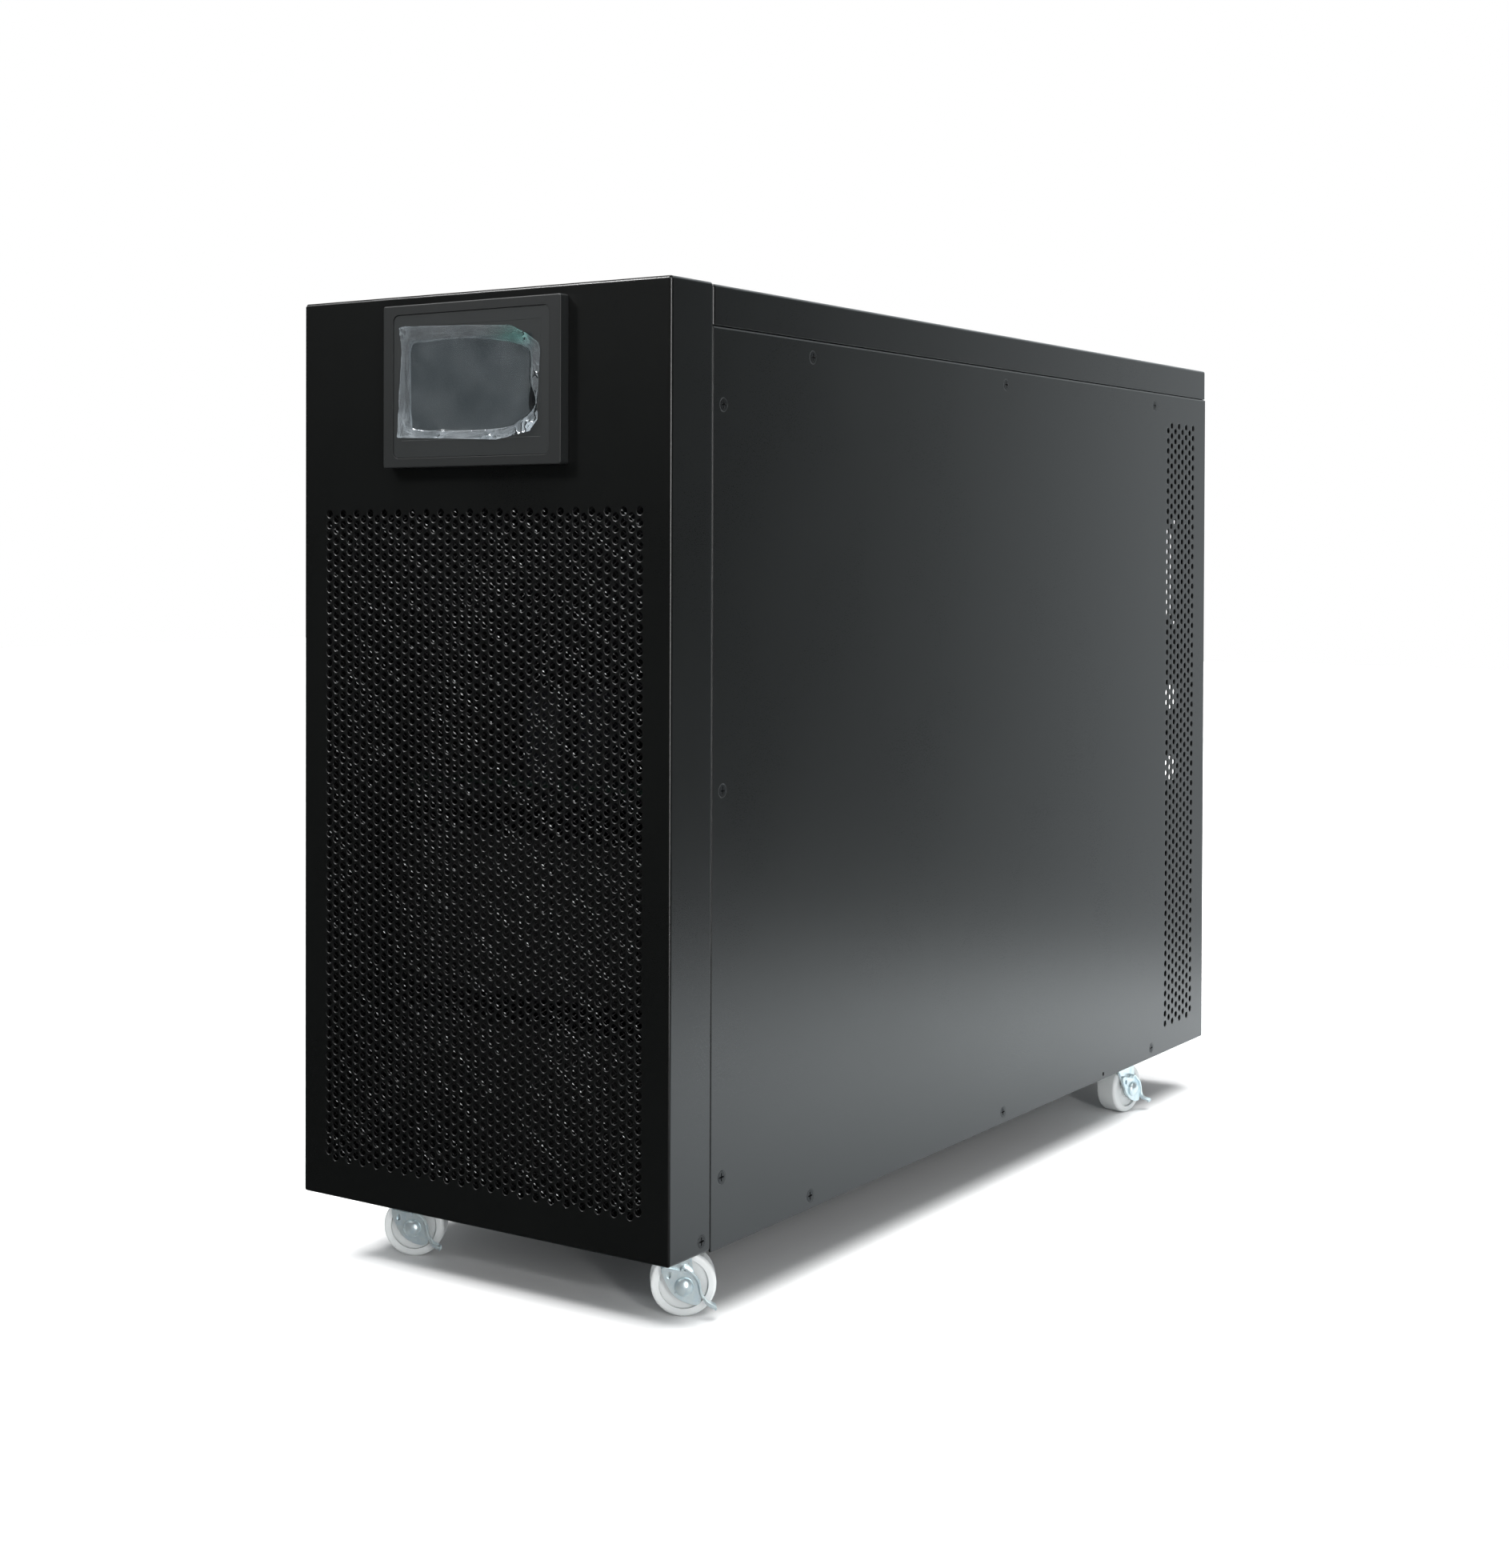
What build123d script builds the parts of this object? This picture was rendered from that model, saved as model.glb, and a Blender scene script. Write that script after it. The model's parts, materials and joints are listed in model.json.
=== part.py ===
from build123d import *
import math
import os

# A tower battery-backup cabinet on four braked swivel castors.
# Millimetres. X to the right seen from the front, Y from the front to the rear, Z up from the floor.
# The origin is on the floor, in the middle of the cabinet.

# Driving dimensions
WIDTH = 280.0
DEPTH = 780.0
HEIGHT = 600.0
SKIRT_Z = 42.5  # lower edge of the casing above the floor
SHEET = 1.2
BEND_R = 1.8  # outside radius of the folded edges
PROUD = 7.5  # how far the display and the terminal cover stand out

HALF_W = WIDTH / 2
FRONT_Y = -DEPTH / 2
REAR_Y = DEPTH / 2
INNER_X = HALF_W - SHEET
INNER_REAR_Y = REAR_Y - SHEET

# Front bezel: a folded pan that slips over the chassis
BEZEL_BOTTOM_Z = SKIRT_Z + 1.0
BEZEL_BACK_Y = FRONT_Y + 40.7
BEZEL_FOOT_DEPTH = 24.0
CORNER_NOTCH = 1.6

# Perforated field of the bezel, staggered round holes
GRILLE_HOLE_R = 2.6
GRILLE_COLUMNS = 43
GRILLE_ROWS = 61
GRILLE_PITCH_X = 5.65
GRILLE_PITCH_Z = 6.61
GRILLE_TOP_Z = SKIRT_Z + 426.1
GRILLE_MARGIN = 5.0

# Side panels, top cover and base
PANEL_FRONT_Y = BEZEL_BACK_Y + 1.3
PANEL_TOP_Z = SKIRT_Z + 532.0
COVER_BOTTOM_Z = PANEL_TOP_Z + 1.3
COVER_TOP_Z = HEIGHT - 0.7
CHASSIS_FRONT_Y = BEZEL_BACK_Y - 16.2
FLOOR_Z = SKIRT_Z + 10.0
FLOOR_T = 1.5
FLOOR_TOP_Z = FLOOR_Z + FLOOR_T
CHASSIS_TOP_Z = COVER_BOTTOM_Z - 0.3
RING_DEPTH = 36.5
RING_WIDTH = 20.0
RAIL_Z = PANEL_TOP_Z - 18.5
RAIL_WIDTH = 18.0

# Vents near the rear edge of each side panel
VENT_HOLE_R = 2.5
VENT_COLUMNS = 8
VENT_ROWS = 60
VENT_FIRST_Y = 312.3
VENT_PITCH_Y = 7.4
VENT_PITCH_Z = 8.15
VENT_EVEN_TOP_Z = SKIRT_Z + 503.6
VENT_ODD_TOP_Z = SKIRT_Z + 507.8

# Countersunk screws, as (y, z) on each side
SCREW_HEAD_R = 3.9
SCREW_SHANK_R = 1.9
SCREW_LENGTH = 7.0
SCREW_PLAY = 0.1
ROW_YS = (-238.5, 22.7, 284.6)
FRONT_COLUMN = [(-337.0, SKIRT_Z + z) for z in (41.0, 265.0, 488.0)]
TOP_ROW = [(y, SKIRT_Z + 522.4) for y in ROW_YS]
BOTTOM_ROW = [(y, SKIRT_Z + 7.9) for y in ROW_YS]
PANEL_SCREWS = FRONT_COLUMN + TOP_ROW + BOTTOM_ROW
BEZEL_SCREWS = [(FRONT_Y + 32.6, SKIRT_Z + 8.5)]
LOCATING_HOLE = (192.7, SKIRT_Z + 3.7, 1.5)  # y, z and radius

# Display module
DISPLAY_Z = SKIRT_Z + 502.1
DISPLAY_SIZE = (135.4, 97.8)
OVERLAY_SIZE = (119.4, 86.2)
GLASS_SIZE = (105.5, 67.2)
DISPLAY_BOSS = (116.0, 78.0)
BOSS_BACK_Y = FRONT_Y + 11.0

# Rear panel
FAN_SIZE = 119.0
FAN_DEPTH = 38.0
FAN_DUCT_R = 56.5
FAN_X = -35.0
FAN_ZS = {"upper": 497.0, "lower": 367.0}
FAN_HUB_R = 21.0
FAN_BLADES = 7
BREAKER_Z = 236.0
BREAKER_XS = {"input": -75.0, "battery": 5.0}
BREAKER_NOSE = (53.6, 44.6)
TERMINAL_X = -35.0
TERMINAL_Z = 145.0
CARD_SLOT = (80.0, 431.0)
VENT_SLOT = (107.0, 431.0, 9.0, 72.0)  # x, z, width and height
VENT_PORTS = [(110.0, 326.0), (110.0, 266.0)]
VENT_PORT = (9.2, 20.0)
COMM_PORTS = [(78.0, 326.0, 16.0, 14.0), (78.0, 296.0, 16.0, 14.0), (78.0, 266.0, 12.0, 11.0)]
PORT_PLAY = 0.2

# Inside
SHELF_Y = (-328.0, 300.0)
BATTERY_SHELF_Z = 170.0
ELECTRONICS_SHELF_Z = 290.0
BATTERY = (65.0, 151.0, 94.0)
BATTERY_GRID = (4, 4)
BATTERY_GAP = 1.0

# Castors: (x, y) of the kingpin and the direction in which the wheel trails, in degrees
CASTORS = {
    "front_right": (103.0, -345.0, 37.0),
    "front_left": (-103.0, -345.0, 30.0),
    "rear_right": (116.0, 258.0, 80.0),
    "rear_left": (-116.0, 258.0, 65.0),
}
WHEEL_R = 19.25
WHEEL_W = 17.0
TRAIL = 13.0
PLATE_SIDE = 38.0
PLATE_T = 2.0
BOLT_PITCH = 28.0
AXLE_R = 2.5
RUNNING_FIT = 0.06
FORK_INSIDE = WHEEL_W / 2 + 0.8
FORK_T = 2.0
CROWN_TOP_Z = 46.7
KINGPIN_R = 3.0
BOSS_R = 14.0
LEVER_GAP = 0.3
LEVER_T = 1.5
PEDAL_OUTSIDE = 18.4


def block(x0, x1, y0, y1, z0, z1):
    """A box between two corners."""
    return Pos(x0, y0, z0) * Box(x1 - x0, y1 - y0, z1 - z0, align=(Align.MIN,) * 3)


def rod(radius, start, direction, length):
    """A round bar from a point along a direction."""
    return Solid.make_cylinder(radius, length, Plane(origin=start, z_dir=direction))


def cone(r_start, r_end, start, direction, length):
    return Solid.make_cone(r_start, r_end, length, Plane(origin=start, z_dir=direction))


def on_both_sides(shape):
    """The shape and its mirror image on the other side of the cabinet."""
    return [shape, mirror(shape, Plane.YZ)]


def group(shapes):
    return Compound(children=[s for shape in shapes for s in shape.solids()])


def save(node, shape):
    export_step(shape, f"parts/{node}.step")


def folded_pan(x0, x1, y0, y1, z0, z1, open_normal):
    """A box of sheet with rounded folds, open on the side that open_normal points to."""
    outer = block(x0, x1, y0, y1, z0, z1)
    rim = outer.faces().sort_by(Axis((0, 0, 0), open_normal))[-1]
    folds = [e for e in outer.edges() if e not in rim.edges()]
    outer = fillet(folds, BEND_R)
    reach = [max(0.0, c) * 2 * SHEET for c in open_normal]
    back = [max(0.0, -c) * 2 * SHEET for c in open_normal]
    inner = block(
        x0 + SHEET - back[0], x1 - SHEET + reach[0],
        y0 + SHEET - back[1], y1 - SHEET + reach[1],
        z0 + SHEET - back[2], z1 - SHEET + reach[2],
    )
    rim = inner.faces().sort_by(Axis((0, 0, 0), open_normal))[-1]
    folds = [e for e in inner.edges() if e not in rim.edges()]
    return outer - fillet(folds, BEND_R - SHEET)


def perforated_sheet(plane, width, height, circles, thickness):
    """A flat sheet with round holes, given as (u, v, radius) from its middle in the plane's own axes."""
    outline = (plane * Rectangle(width, height)).face().outer_wire()
    holes = [
        Wire.make_circle(r, Plane(origin=plane.from_local_coords((u, v, 0)), z_dir=plane.z_dir))
        for u, v, r in circles
    ]
    return Solid.extrude(Face(outline, holes), plane.z_dir * thickness)


def grille_holes():
    """Centres of the front perforation as (x, z)."""
    first_x = -GRILLE_PITCH_X * (GRILLE_COLUMNS - 1) / 2
    for column in range(GRILLE_COLUMNS):
        top = GRILLE_TOP_Z - (GRILLE_PITCH_Z / 2 if column % 2 else 0.0)
        for row in range(GRILLE_ROWS):
            yield first_x + column * GRILLE_PITCH_X, top - row * GRILLE_PITCH_Z


def vent_holes():
    """Centres of a side panel's perforation as (y, z)."""
    for column in range(VENT_COLUMNS):
        top = VENT_ODD_TOP_Z if column % 2 else VENT_EVEN_TOP_Z
        for row in range(VENT_ROWS):
            yield VENT_FIRST_Y + column * VENT_PITCH_Y, top - row * VENT_PITCH_Z


def countersinks(places):
    """What a countersunk screw on the right side removes from the outer sheet."""
    return [
        cone(SCREW_HEAD_R + SCREW_PLAY, SCREW_HEAD_R + SCREW_PLAY - SHEET, (HALF_W, y, z), (-1, 0, 0), SHEET)
        for y, z in places
    ]


def shank_holes(places):
    """What the screws on both sides remove from the chassis sheets behind the panels."""
    start = INNER_X - SCREW_LENGTH
    return [
        hole
        for y, z in places
        for hole in on_both_sides(rod(SCREW_SHANK_R + SCREW_PLAY, (start, y, z), (1, 0, 0), SCREW_LENGTH))
    ]


# ---------------------------------------------------------------- casing

def front_bezel():
    pan = folded_pan(-HALF_W, HALF_W, FRONT_Y, BEZEL_BACK_Y, BEZEL_BOTTOM_Z, HEIGHT, (0, 1, 0))
    foot_end = FRONT_Y + BEZEL_FOOT_DEPTH
    pan -= block(-INNER_X, INNER_X, foot_end, BEZEL_BACK_Y + 1, BEZEL_BOTTOM_Z - 1, BEZEL_BOTTOM_Z + BEND_R)
    top = HEIGHT - CORNER_NOTCH
    edge = HALF_W - CORNER_NOTCH
    pan -= on_both_sides(block(edge, HALF_W + 1, FRONT_Y - 1, FRONT_Y + CORNER_NOTCH, top, HEIGHT + 1))
    for side in on_both_sides(group(countersinks(BEZEL_SCREWS))):
        pan -= side
    boss_w, boss_h = DISPLAY_BOSS
    pan -= block(
        -boss_w / 2, boss_w / 2, FRONT_Y - 1, FRONT_Y + 2 * SHEET,
        DISPLAY_Z - boss_h / 2, DISPLAY_Z + boss_h / 2,
    )
    half_field = GRILLE_PITCH_X * (GRILLE_COLUMNS - 1) / 2 + GRILLE_MARGIN
    field_top = GRILLE_TOP_Z + GRILLE_MARGIN
    field_bottom = GRILLE_TOP_Z - GRILLE_PITCH_Z * (GRILLE_ROWS - 0.5) - GRILLE_MARGIN
    pan -= block(-half_field, half_field, FRONT_Y - 1, FRONT_Y + 2 * SHEET, field_bottom, field_top)
    middle = (field_top + field_bottom) / 2
    plane = Plane(origin=(0, FRONT_Y, middle), x_dir=(-1, 0, 0), z_dir=(0, 1, 0))
    circles = [(-x, z - middle, GRILLE_HOLE_R) for x, z in grille_holes()]
    field = perforated_sheet(plane, 2 * half_field, field_top - field_bottom, circles, SHEET)
    return pan.fuse(field)


def side_panel():
    """The right-hand panel."""
    middle_y = (PANEL_FRONT_Y + REAR_Y) / 2
    middle_z = (SKIRT_Z + PANEL_TOP_Z) / 2
    plane = Plane(origin=(INNER_X, middle_y, middle_z), x_dir=(0, 1, 0), z_dir=(1, 0, 0))
    circles = [(y, z, VENT_HOLE_R) for y, z in vent_holes()] + [LOCATING_HOLE]
    circles = [(y - middle_y, z - middle_z, r) for y, z, r in circles]
    panel = perforated_sheet(plane, REAR_Y - PANEL_FRONT_Y, PANEL_TOP_Z - SKIRT_Z, circles, SHEET)
    return panel.cut(*countersinks(PANEL_SCREWS))


def top_cover():
    return folded_pan(-HALF_W, HALF_W, PANEL_FRONT_Y, REAR_Y, COVER_BOTTOM_Z, COVER_TOP_Z, (0, 0, -1))


def castor_bolt_places():
    """Centres of the bolts that hold the castor plates."""
    half = BOLT_PITCH / 2
    for x, y, _ in CASTORS.values():
        for dx in (-half, half):
            for dy in (-half, half):
                yield x + dx, y + dy


def base_pan():
    pan = block(-INNER_X, INNER_X, CHASSIS_FRONT_Y, INNER_REAR_Y, FLOOR_Z, FLOOR_TOP_Z)
    skirt_bottom = SKIRT_Z + 1.0
    skirt = block(INNER_X - SHEET, INNER_X, CHASSIS_FRONT_Y, INNER_REAR_Y, skirt_bottom, FLOOR_Z)
    for side in on_both_sides(skirt):
        pan += side
    pan += block(-INNER_X, INNER_X, INNER_REAR_Y - SHEET, INNER_REAR_Y, skirt_bottom, FLOOR_Z)
    pan -= shank_holes(BOTTOM_ROW + BEZEL_SCREWS)
    pan -= [rod(2.1, (x, y, FLOOR_Z), (0, 0, 1), FLOOR_T) for x, y in castor_bolt_places()]
    return pan


def inner_frame():
    """A folded ring behind the bezel with a rail along the top of each side."""
    back = CHASSIS_FRONT_Y + RING_DEPTH
    ring = block(-INNER_X, INNER_X, CHASSIS_FRONT_Y, back, FLOOR_TOP_Z, CHASSIS_TOP_Z)
    inside = INNER_X - SHEET
    ring -= block(-inside, inside, CHASSIS_FRONT_Y + SHEET, back, FLOOR_TOP_Z, CHASSIS_TOP_Z - SHEET)
    window = INNER_X - RING_WIDTH
    window_z = (FLOOR_TOP_Z + RING_WIDTH, CHASSIS_TOP_Z - RING_WIDTH)
    ring -= block(-window, window, CHASSIS_FRONT_Y, back, *window_z)
    rail = block(INNER_X - SHEET, INNER_X, back, INNER_REAR_Y, RAIL_Z, CHASSIS_TOP_Z)
    rail += block(INNER_X - RAIL_WIDTH, INNER_X, back, INNER_REAR_Y, CHASSIS_TOP_Z - SHEET, CHASSIS_TOP_Z)
    for side in on_both_sides(rail):
        ring += side
    return ring - shank_holes(FRONT_COLUMN + TOP_ROW)


def dust_filter():
    return block(-124, 124, FRONT_Y + 3.0, FRONT_Y + 5.0, SKIRT_Z + 16, SKIRT_Z + 436)


def filter_frame():
    """A channel that holds the filter against the back of the bezel."""
    frame = block(-130, 130, FRONT_Y + SHEET, FRONT_Y + 7.0, SKIRT_Z + 10, SKIRT_Z + 442)
    frame -= block(-124, 124, FRONT_Y + 3.0, FRONT_Y + 5.0, SKIRT_Z + 16, SKIRT_Z + 436)
    return frame - block(-122, 122, FRONT_Y, FRONT_Y + 8.0, SKIRT_Z + 18.5, SKIRT_Z + 433.5)


def panel_screws():
    """Countersunk cross-head screws of both side panels and the bezel."""
    screws = []
    for y, z in PANEL_SCREWS + BEZEL_SCREWS:
        screw = cone(SCREW_HEAD_R, SCREW_HEAD_R - SHEET, (HALF_W, y, z), (-1, 0, 0), SHEET)
        screw = screw.fuse(rod(SCREW_SHANK_R, (INNER_X, y, z), (-1, 0, 0), SCREW_LENGTH - 1))
        cross = [
            block(HALF_W - 1.0, HALF_W + 1, y - 2.4, y + 2.4, z - 0.45, z + 0.45),
            block(HALF_W - 1.0, HALF_W + 1, y - 0.45, y + 0.45, z - 2.4, z + 2.4),
        ]
        screws += on_both_sides(screw.cut(*cross))
    return group(screws)


# ---------------------------------------------------------------- display

def upright_plate(size, corner_r, y0, y1, middle_z):
    """A plate parallel to the front with rounded corners."""
    plane = Plane(origin=(0, y1, middle_z), x_dir=(1, 0, 0), z_dir=(0, -1, 0))
    return extrude(plane * RectangleRounded(*size, corner_r), y1 - y0)


def display_housing():
    face_y = FRONT_Y - PROUD
    shell = upright_plate(DISPLAY_SIZE, 1.5, face_y, FRONT_Y, DISPLAY_Z)
    front_rim = shell.faces().sort_by(Axis.Y)[0].edges()
    shell = fillet(front_rim, 0.7)
    shell += upright_plate(DISPLAY_BOSS, 1.0, FRONT_Y, BOSS_BACK_Y, DISPLAY_Z)
    shell -= upright_plate(OVERLAY_SIZE, 4.0, face_y - 1, face_y + 1.0, DISPLAY_Z)
    opening = (GLASS_SIZE[0] + 0.6, GLASS_SIZE[1] + 0.6)
    shell -= upright_plate(opening, 1.0, face_y - 1, face_y + 4.5, DISPLAY_Z + 1.4)
    return shell - upright_plate((104.0, 62.0), 1.0, face_y, BOSS_BACK_Y, DISPLAY_Z + 1.4)


def display_overlay():
    face_y = FRONT_Y - PROUD
    size = (OVERLAY_SIZE[0] - 0.4, OVERLAY_SIZE[1] - 0.4)
    overlay = upright_plate(size, 3.8, face_y + 0.4, face_y + 1.0, DISPLAY_Z)
    opening = (GLASS_SIZE[0] + 0.6, GLASS_SIZE[1] + 0.6)
    return overlay - upright_plate(opening, 1.0, face_y, face_y + 1.0, DISPLAY_Z + 1.4)


def display_glass():
    face_y = FRONT_Y - PROUD
    return upright_plate(GLASS_SIZE, 0.8, face_y + 0.5, face_y + 4.5, DISPLAY_Z + 1.4)


def display_board():
    board = upright_plate((112.0, 74.0), 1.0, BOSS_BACK_Y, BOSS_BACK_Y + 1.6, DISPLAY_Z)
    back = BOSS_BACK_Y + 1.6
    board += block(-20, 20, back, back + 5, DISPLAY_Z - 8, DISPLAY_Z + 8)
    return board + block(28, 48, back, back + 8, DISPLAY_Z - 25, DISPLAY_Z - 18)


# ---------------------------------------------------------------- rear

def rear_panel():
    panel = block(-INNER_X, INNER_X, INNER_REAR_Y, REAR_Y, SKIRT_Z + 1, CHASSIS_TOP_Z)
    flange = block(INNER_X - SHEET, INNER_X, INNER_REAR_Y - 18, INNER_REAR_Y, FLOOR_TOP_Z + 2, RAIL_Z - 1)
    for side in on_both_sides(flange):
        panel += side
    cuts = []
    for z in FAN_ZS.values():
        cuts.append(rod(FAN_DUCT_R, (FAN_X, INNER_REAR_Y, z), (0, 1, 0), SHEET))
    windows = [(x, BREAKER_Z, *BREAKER_NOSE) for x in BREAKER_XS.values()] + COMM_PORTS
    windows = [(x, z, width + 2 * PORT_PLAY, height + 2 * PORT_PLAY) for x, z, width, height in windows]
    windows += [(TERMINAL_X, TERMINAL_Z, 130, 50), (*CARD_SLOT, 28, 84), VENT_SLOT]
    windows += [(x, z, *VENT_PORT) for x, z in VENT_PORTS]
    for x, z, width, height in windows:
        cuts.append(Pos(x, INNER_REAR_Y + SHEET / 2, z) * Box(width, SHEET, height))
    x, z, _, height = VENT_SLOT
    for end in (-1, 1):
        hole_z = z + end * (height / 2 + 6.5)
        cuts.append(rod(1.6, (x + 6.5, INNER_REAR_Y, hole_z), (0, 1, 0), SHEET))
    return panel - cuts


def fan_frame(z):
    half = FAN_SIZE / 2
    y1 = INNER_REAR_Y
    y0 = y1 - FAN_DEPTH
    frame = block(FAN_X - half, FAN_X + half, y0, y1, z - half, z + half)
    frame = fillet(frame.edges().filter_by(Axis.Y), 6.0)
    frame -= rod(FAN_DUCT_R, (FAN_X, y0, z), (0, 1, 0), FAN_DEPTH)
    frame += rod(FAN_HUB_R, (FAN_X, y0, z), (0, 1, 0), 6.0)
    for angle in (45, 135, 225, 315):
        strut = block(0, FAN_DUCT_R + 3, y0, y0 + 5, -3, 3)
        frame += Pos(FAN_X, 0, z) * Rot(0, angle, 0) * strut
    return frame - rod(2.0 + RUNNING_FIT, (FAN_X, y0 + 2, z), (0, 1, 0), 6.0)


def fan_rotor(z):
    """A hub with pitched blades, running on a stub shaft in the frame's hub."""
    y0 = INNER_REAR_Y - FAN_DEPTH + 6.5
    hub_length = 26.0
    rotor = rod(FAN_HUB_R, (FAN_X, y0, z), (0, 1, 0), hub_length)
    rotor += rod(2.0, (FAN_X, y0 - 4.0, z), (0, 1, 0), 4.0)
    for i in range(FAN_BLADES):
        blade = block(FAN_HUB_R - 2, FAN_DUCT_R - 1.5, -1.2, 1.2, -15, 15)
        blade = Pos(0, hub_length / 2, 0) * Rot(52, 0, 0) * blade
        rotor += Pos(FAN_X, y0, z) * Rot(0, 360 * i / FAN_BLADES, 0) * blade
    return rotor


def fan_guard(z):
    wire = 1.0
    centre = (FAN_X, REAR_Y + 3.0, z)
    plane = Plane(origin=centre, z_dir=(0, 1, 0))
    guard = Torus(15, wire).moved(plane.location)
    for r in (29, 43, 57):
        guard += Torus(r, wire).moved(plane.location)
    for angle in (45, 135, 225, 315):
        spoke = rod(wire, (13, 0, 0), (1, 0, 0), 52)
        guard += Pos(*centre) * Rot(0, angle, 0) * (spoke + rod(3.5, (65, -3.0, 0), (0, 1, 0), 4.0))
    return guard


def breaker(x):
    """A three-pole breaker whose nose stands through the rear panel."""
    nose_w, nose_h = BREAKER_NOSE
    body = block(x - 27, x + 27, 325, INNER_REAR_Y, BREAKER_Z - 42, BREAKER_Z + 42)
    body += block(
        x - nose_w / 2, x + nose_w / 2, INNER_REAR_Y, REAR_Y + 3.5,
        BREAKER_Z - nose_h / 2, BREAKER_Z + nose_h / 2,
    )
    return body - block(x - 23.4, x + 23.4, REAR_Y - 6.8, REAR_Y + 4, BREAKER_Z - 10, BREAKER_Z + 10)


def breaker_lever(x):
    """The tied toggles of a breaker, switched on."""
    lever = rod(5.0, (-23, 0, 0), (1, 0, 0), 46)
    lever += block(-20, 20, 0, 8.6, -1.6, 1.6)
    return Pos(x, REAR_Y - 1.5, BREAKER_Z) * Rot(30, 0, 0) * lever


def terminal_block():
    body = block(
        TERMINAL_X - 62, TERMINAL_X + 62, INNER_REAR_Y - 34, INNER_REAR_Y + 1,
        TERMINAL_Z - 20, TERMINAL_Z + 20,
    )
    for i in range(6):
        x = TERMINAL_X + (i - 2.5) * 20.0
        body -= block(x - 8, x + 8, INNER_REAR_Y - 8, INNER_REAR_Y + 2, TERMINAL_Z - 16, TERMINAL_Z + 16)
        body += rod(4.0, (x, INNER_REAR_Y - 9, TERMINAL_Z), (0, 1, 0), 5.0)
    return body


def terminal_cover():
    return folded_pan(
        TERMINAL_X - 74, TERMINAL_X + 74, REAR_Y, REAR_Y + PROUD,
        TERMINAL_Z - 34, TERMINAL_Z + 34, (0, -1, 0),
    )


def card_slot_cover():
    x, z = CARD_SLOT
    cover = block(x - 17, x + 17, REAR_Y, REAR_Y + SHEET, z - 50, z + 50)
    for side in (-1, 1):
        cover += rod(3.5, (x, REAR_Y + SHEET, z + side * 46), (0, 1, 0), 3.0)
    return cover


def comm_ports():
    """Three capped sockets on a small board."""
    front = INNER_REAR_Y - 14.0
    back = REAR_Y + 0.6
    ports = block(64, 92, front - 1.6, front, 250, 340)
    for x, z, width, height in COMM_PORTS:
        ports += Pos(x, (front + back) / 2, z) * Box(width, back - front, height)
        ports += Pos(x, back + 0.6, z) * Box(width + 2, 1.2, height + 2)
    return ports


# ---------------------------------------------------------------- inside

def shelf(z):
    plate = block(-INNER_X, INNER_X, *SHELF_Y, z, z + FLOOR_T)
    for flange in on_both_sides(block(INNER_X - SHEET, INNER_X, *SHELF_Y, z - 12, z)):
        plate += flange
    return plate


def battery_bank(z):
    """Sealed lead-acid blocks side by side on a floor at height z."""
    width, length, height = BATTERY
    columns, rows = BATTERY_GRID
    pitch_x = width + BATTERY_GAP
    pitch_y = length + BATTERY_GAP
    middle_y = sum(SHELF_Y) / 2
    blocks = []
    for i in range(columns):
        for j in range(rows):
            x = (i - (columns - 1) / 2) * pitch_x
            y = middle_y + (j - (rows - 1) / 2) * pitch_y
            case = block(x - width / 2, x + width / 2, y - length / 2, y + length / 2, z, z + height)
            for tab_x in (x - 20, x + 20):
                case += block(tab_x - 3, tab_x + 3, y + 60, y + 66, z + height, z + height + 6)
            blocks.append(case)
    return group(blocks)


BOARD_Z = ELECTRONICS_SHELF_Z + FLOOR_T + 8.0
BOARD_T = 2.0
BOARD_TOP_Z = BOARD_Z + BOARD_T


def power_board():
    board = block(-125, 125, -320, 180, BOARD_Z, BOARD_TOP_Z)
    for x in (-118, 118):
        for y in (-310, -70, 170):
            board += rod(4.0, (x, y, BOARD_Z - 8), (0, 0, 1), 8.0)
    return board


def heatsinks():
    """Two finned extrusions over the power transistors."""
    fins = block(60, 120, -300, 60, BOARD_TOP_Z + 12, BOARD_TOP_Z + 22)
    for i in range(8):
        x = 60 + i * 8.2
        fins += block(x, x + 2.0, -300, 60, BOARD_TOP_Z + 22, BOARD_TOP_Z + 80)
    for y in (-290, 40):
        fins += block(66, 114, y, y + 10, BOARD_TOP_Z, BOARD_TOP_Z + 12)
    return group(on_both_sides(fins))


def capacitors():
    cans = [rod(17.5, (x, y, BOARD_TOP_Z), (0, 0, 1), 55.0) for x in (-22, 22) for y in range(-290, 30, 42)]
    return group(cans)


def inductors():
    """Toroidal chokes standing on the board."""
    coils = []
    for x in (-80, 0, 80):
        ring = Cylinder(32, 30, align=(Align.CENTER, Align.CENTER, Align.MIN))
        ring -= Cylinder(13, 30, align=(Align.CENTER, Align.CENTER, Align.MIN))
        coils.append(Pos(x, 120, BOARD_TOP_Z) * ring)
    return group(coils)


# ---------------------------------------------------------------- castors
# A castor is made with its kingpin on the Z axis and its wheel trailing along +X,
# with the brake on the -Y side.

AXLE_AT = Vector(TRAIL, 0, WHEEL_R)
FORK_OUTSIDE = FORK_INSIDE + FORK_T
LEVER_INSIDE = FORK_OUTSIDE + LEVER_GAP
LEVER_OUTSIDE = LEVER_INSIDE + LEVER_T
PLATE_BOTTOM_Z = FLOOR_Z - PLATE_T
BOSS_BOTTOM_Z = CROWN_TOP_Z + 0.3
CROWN_BOTTOM_Z = CROWN_TOP_Z - FORK_T


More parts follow.
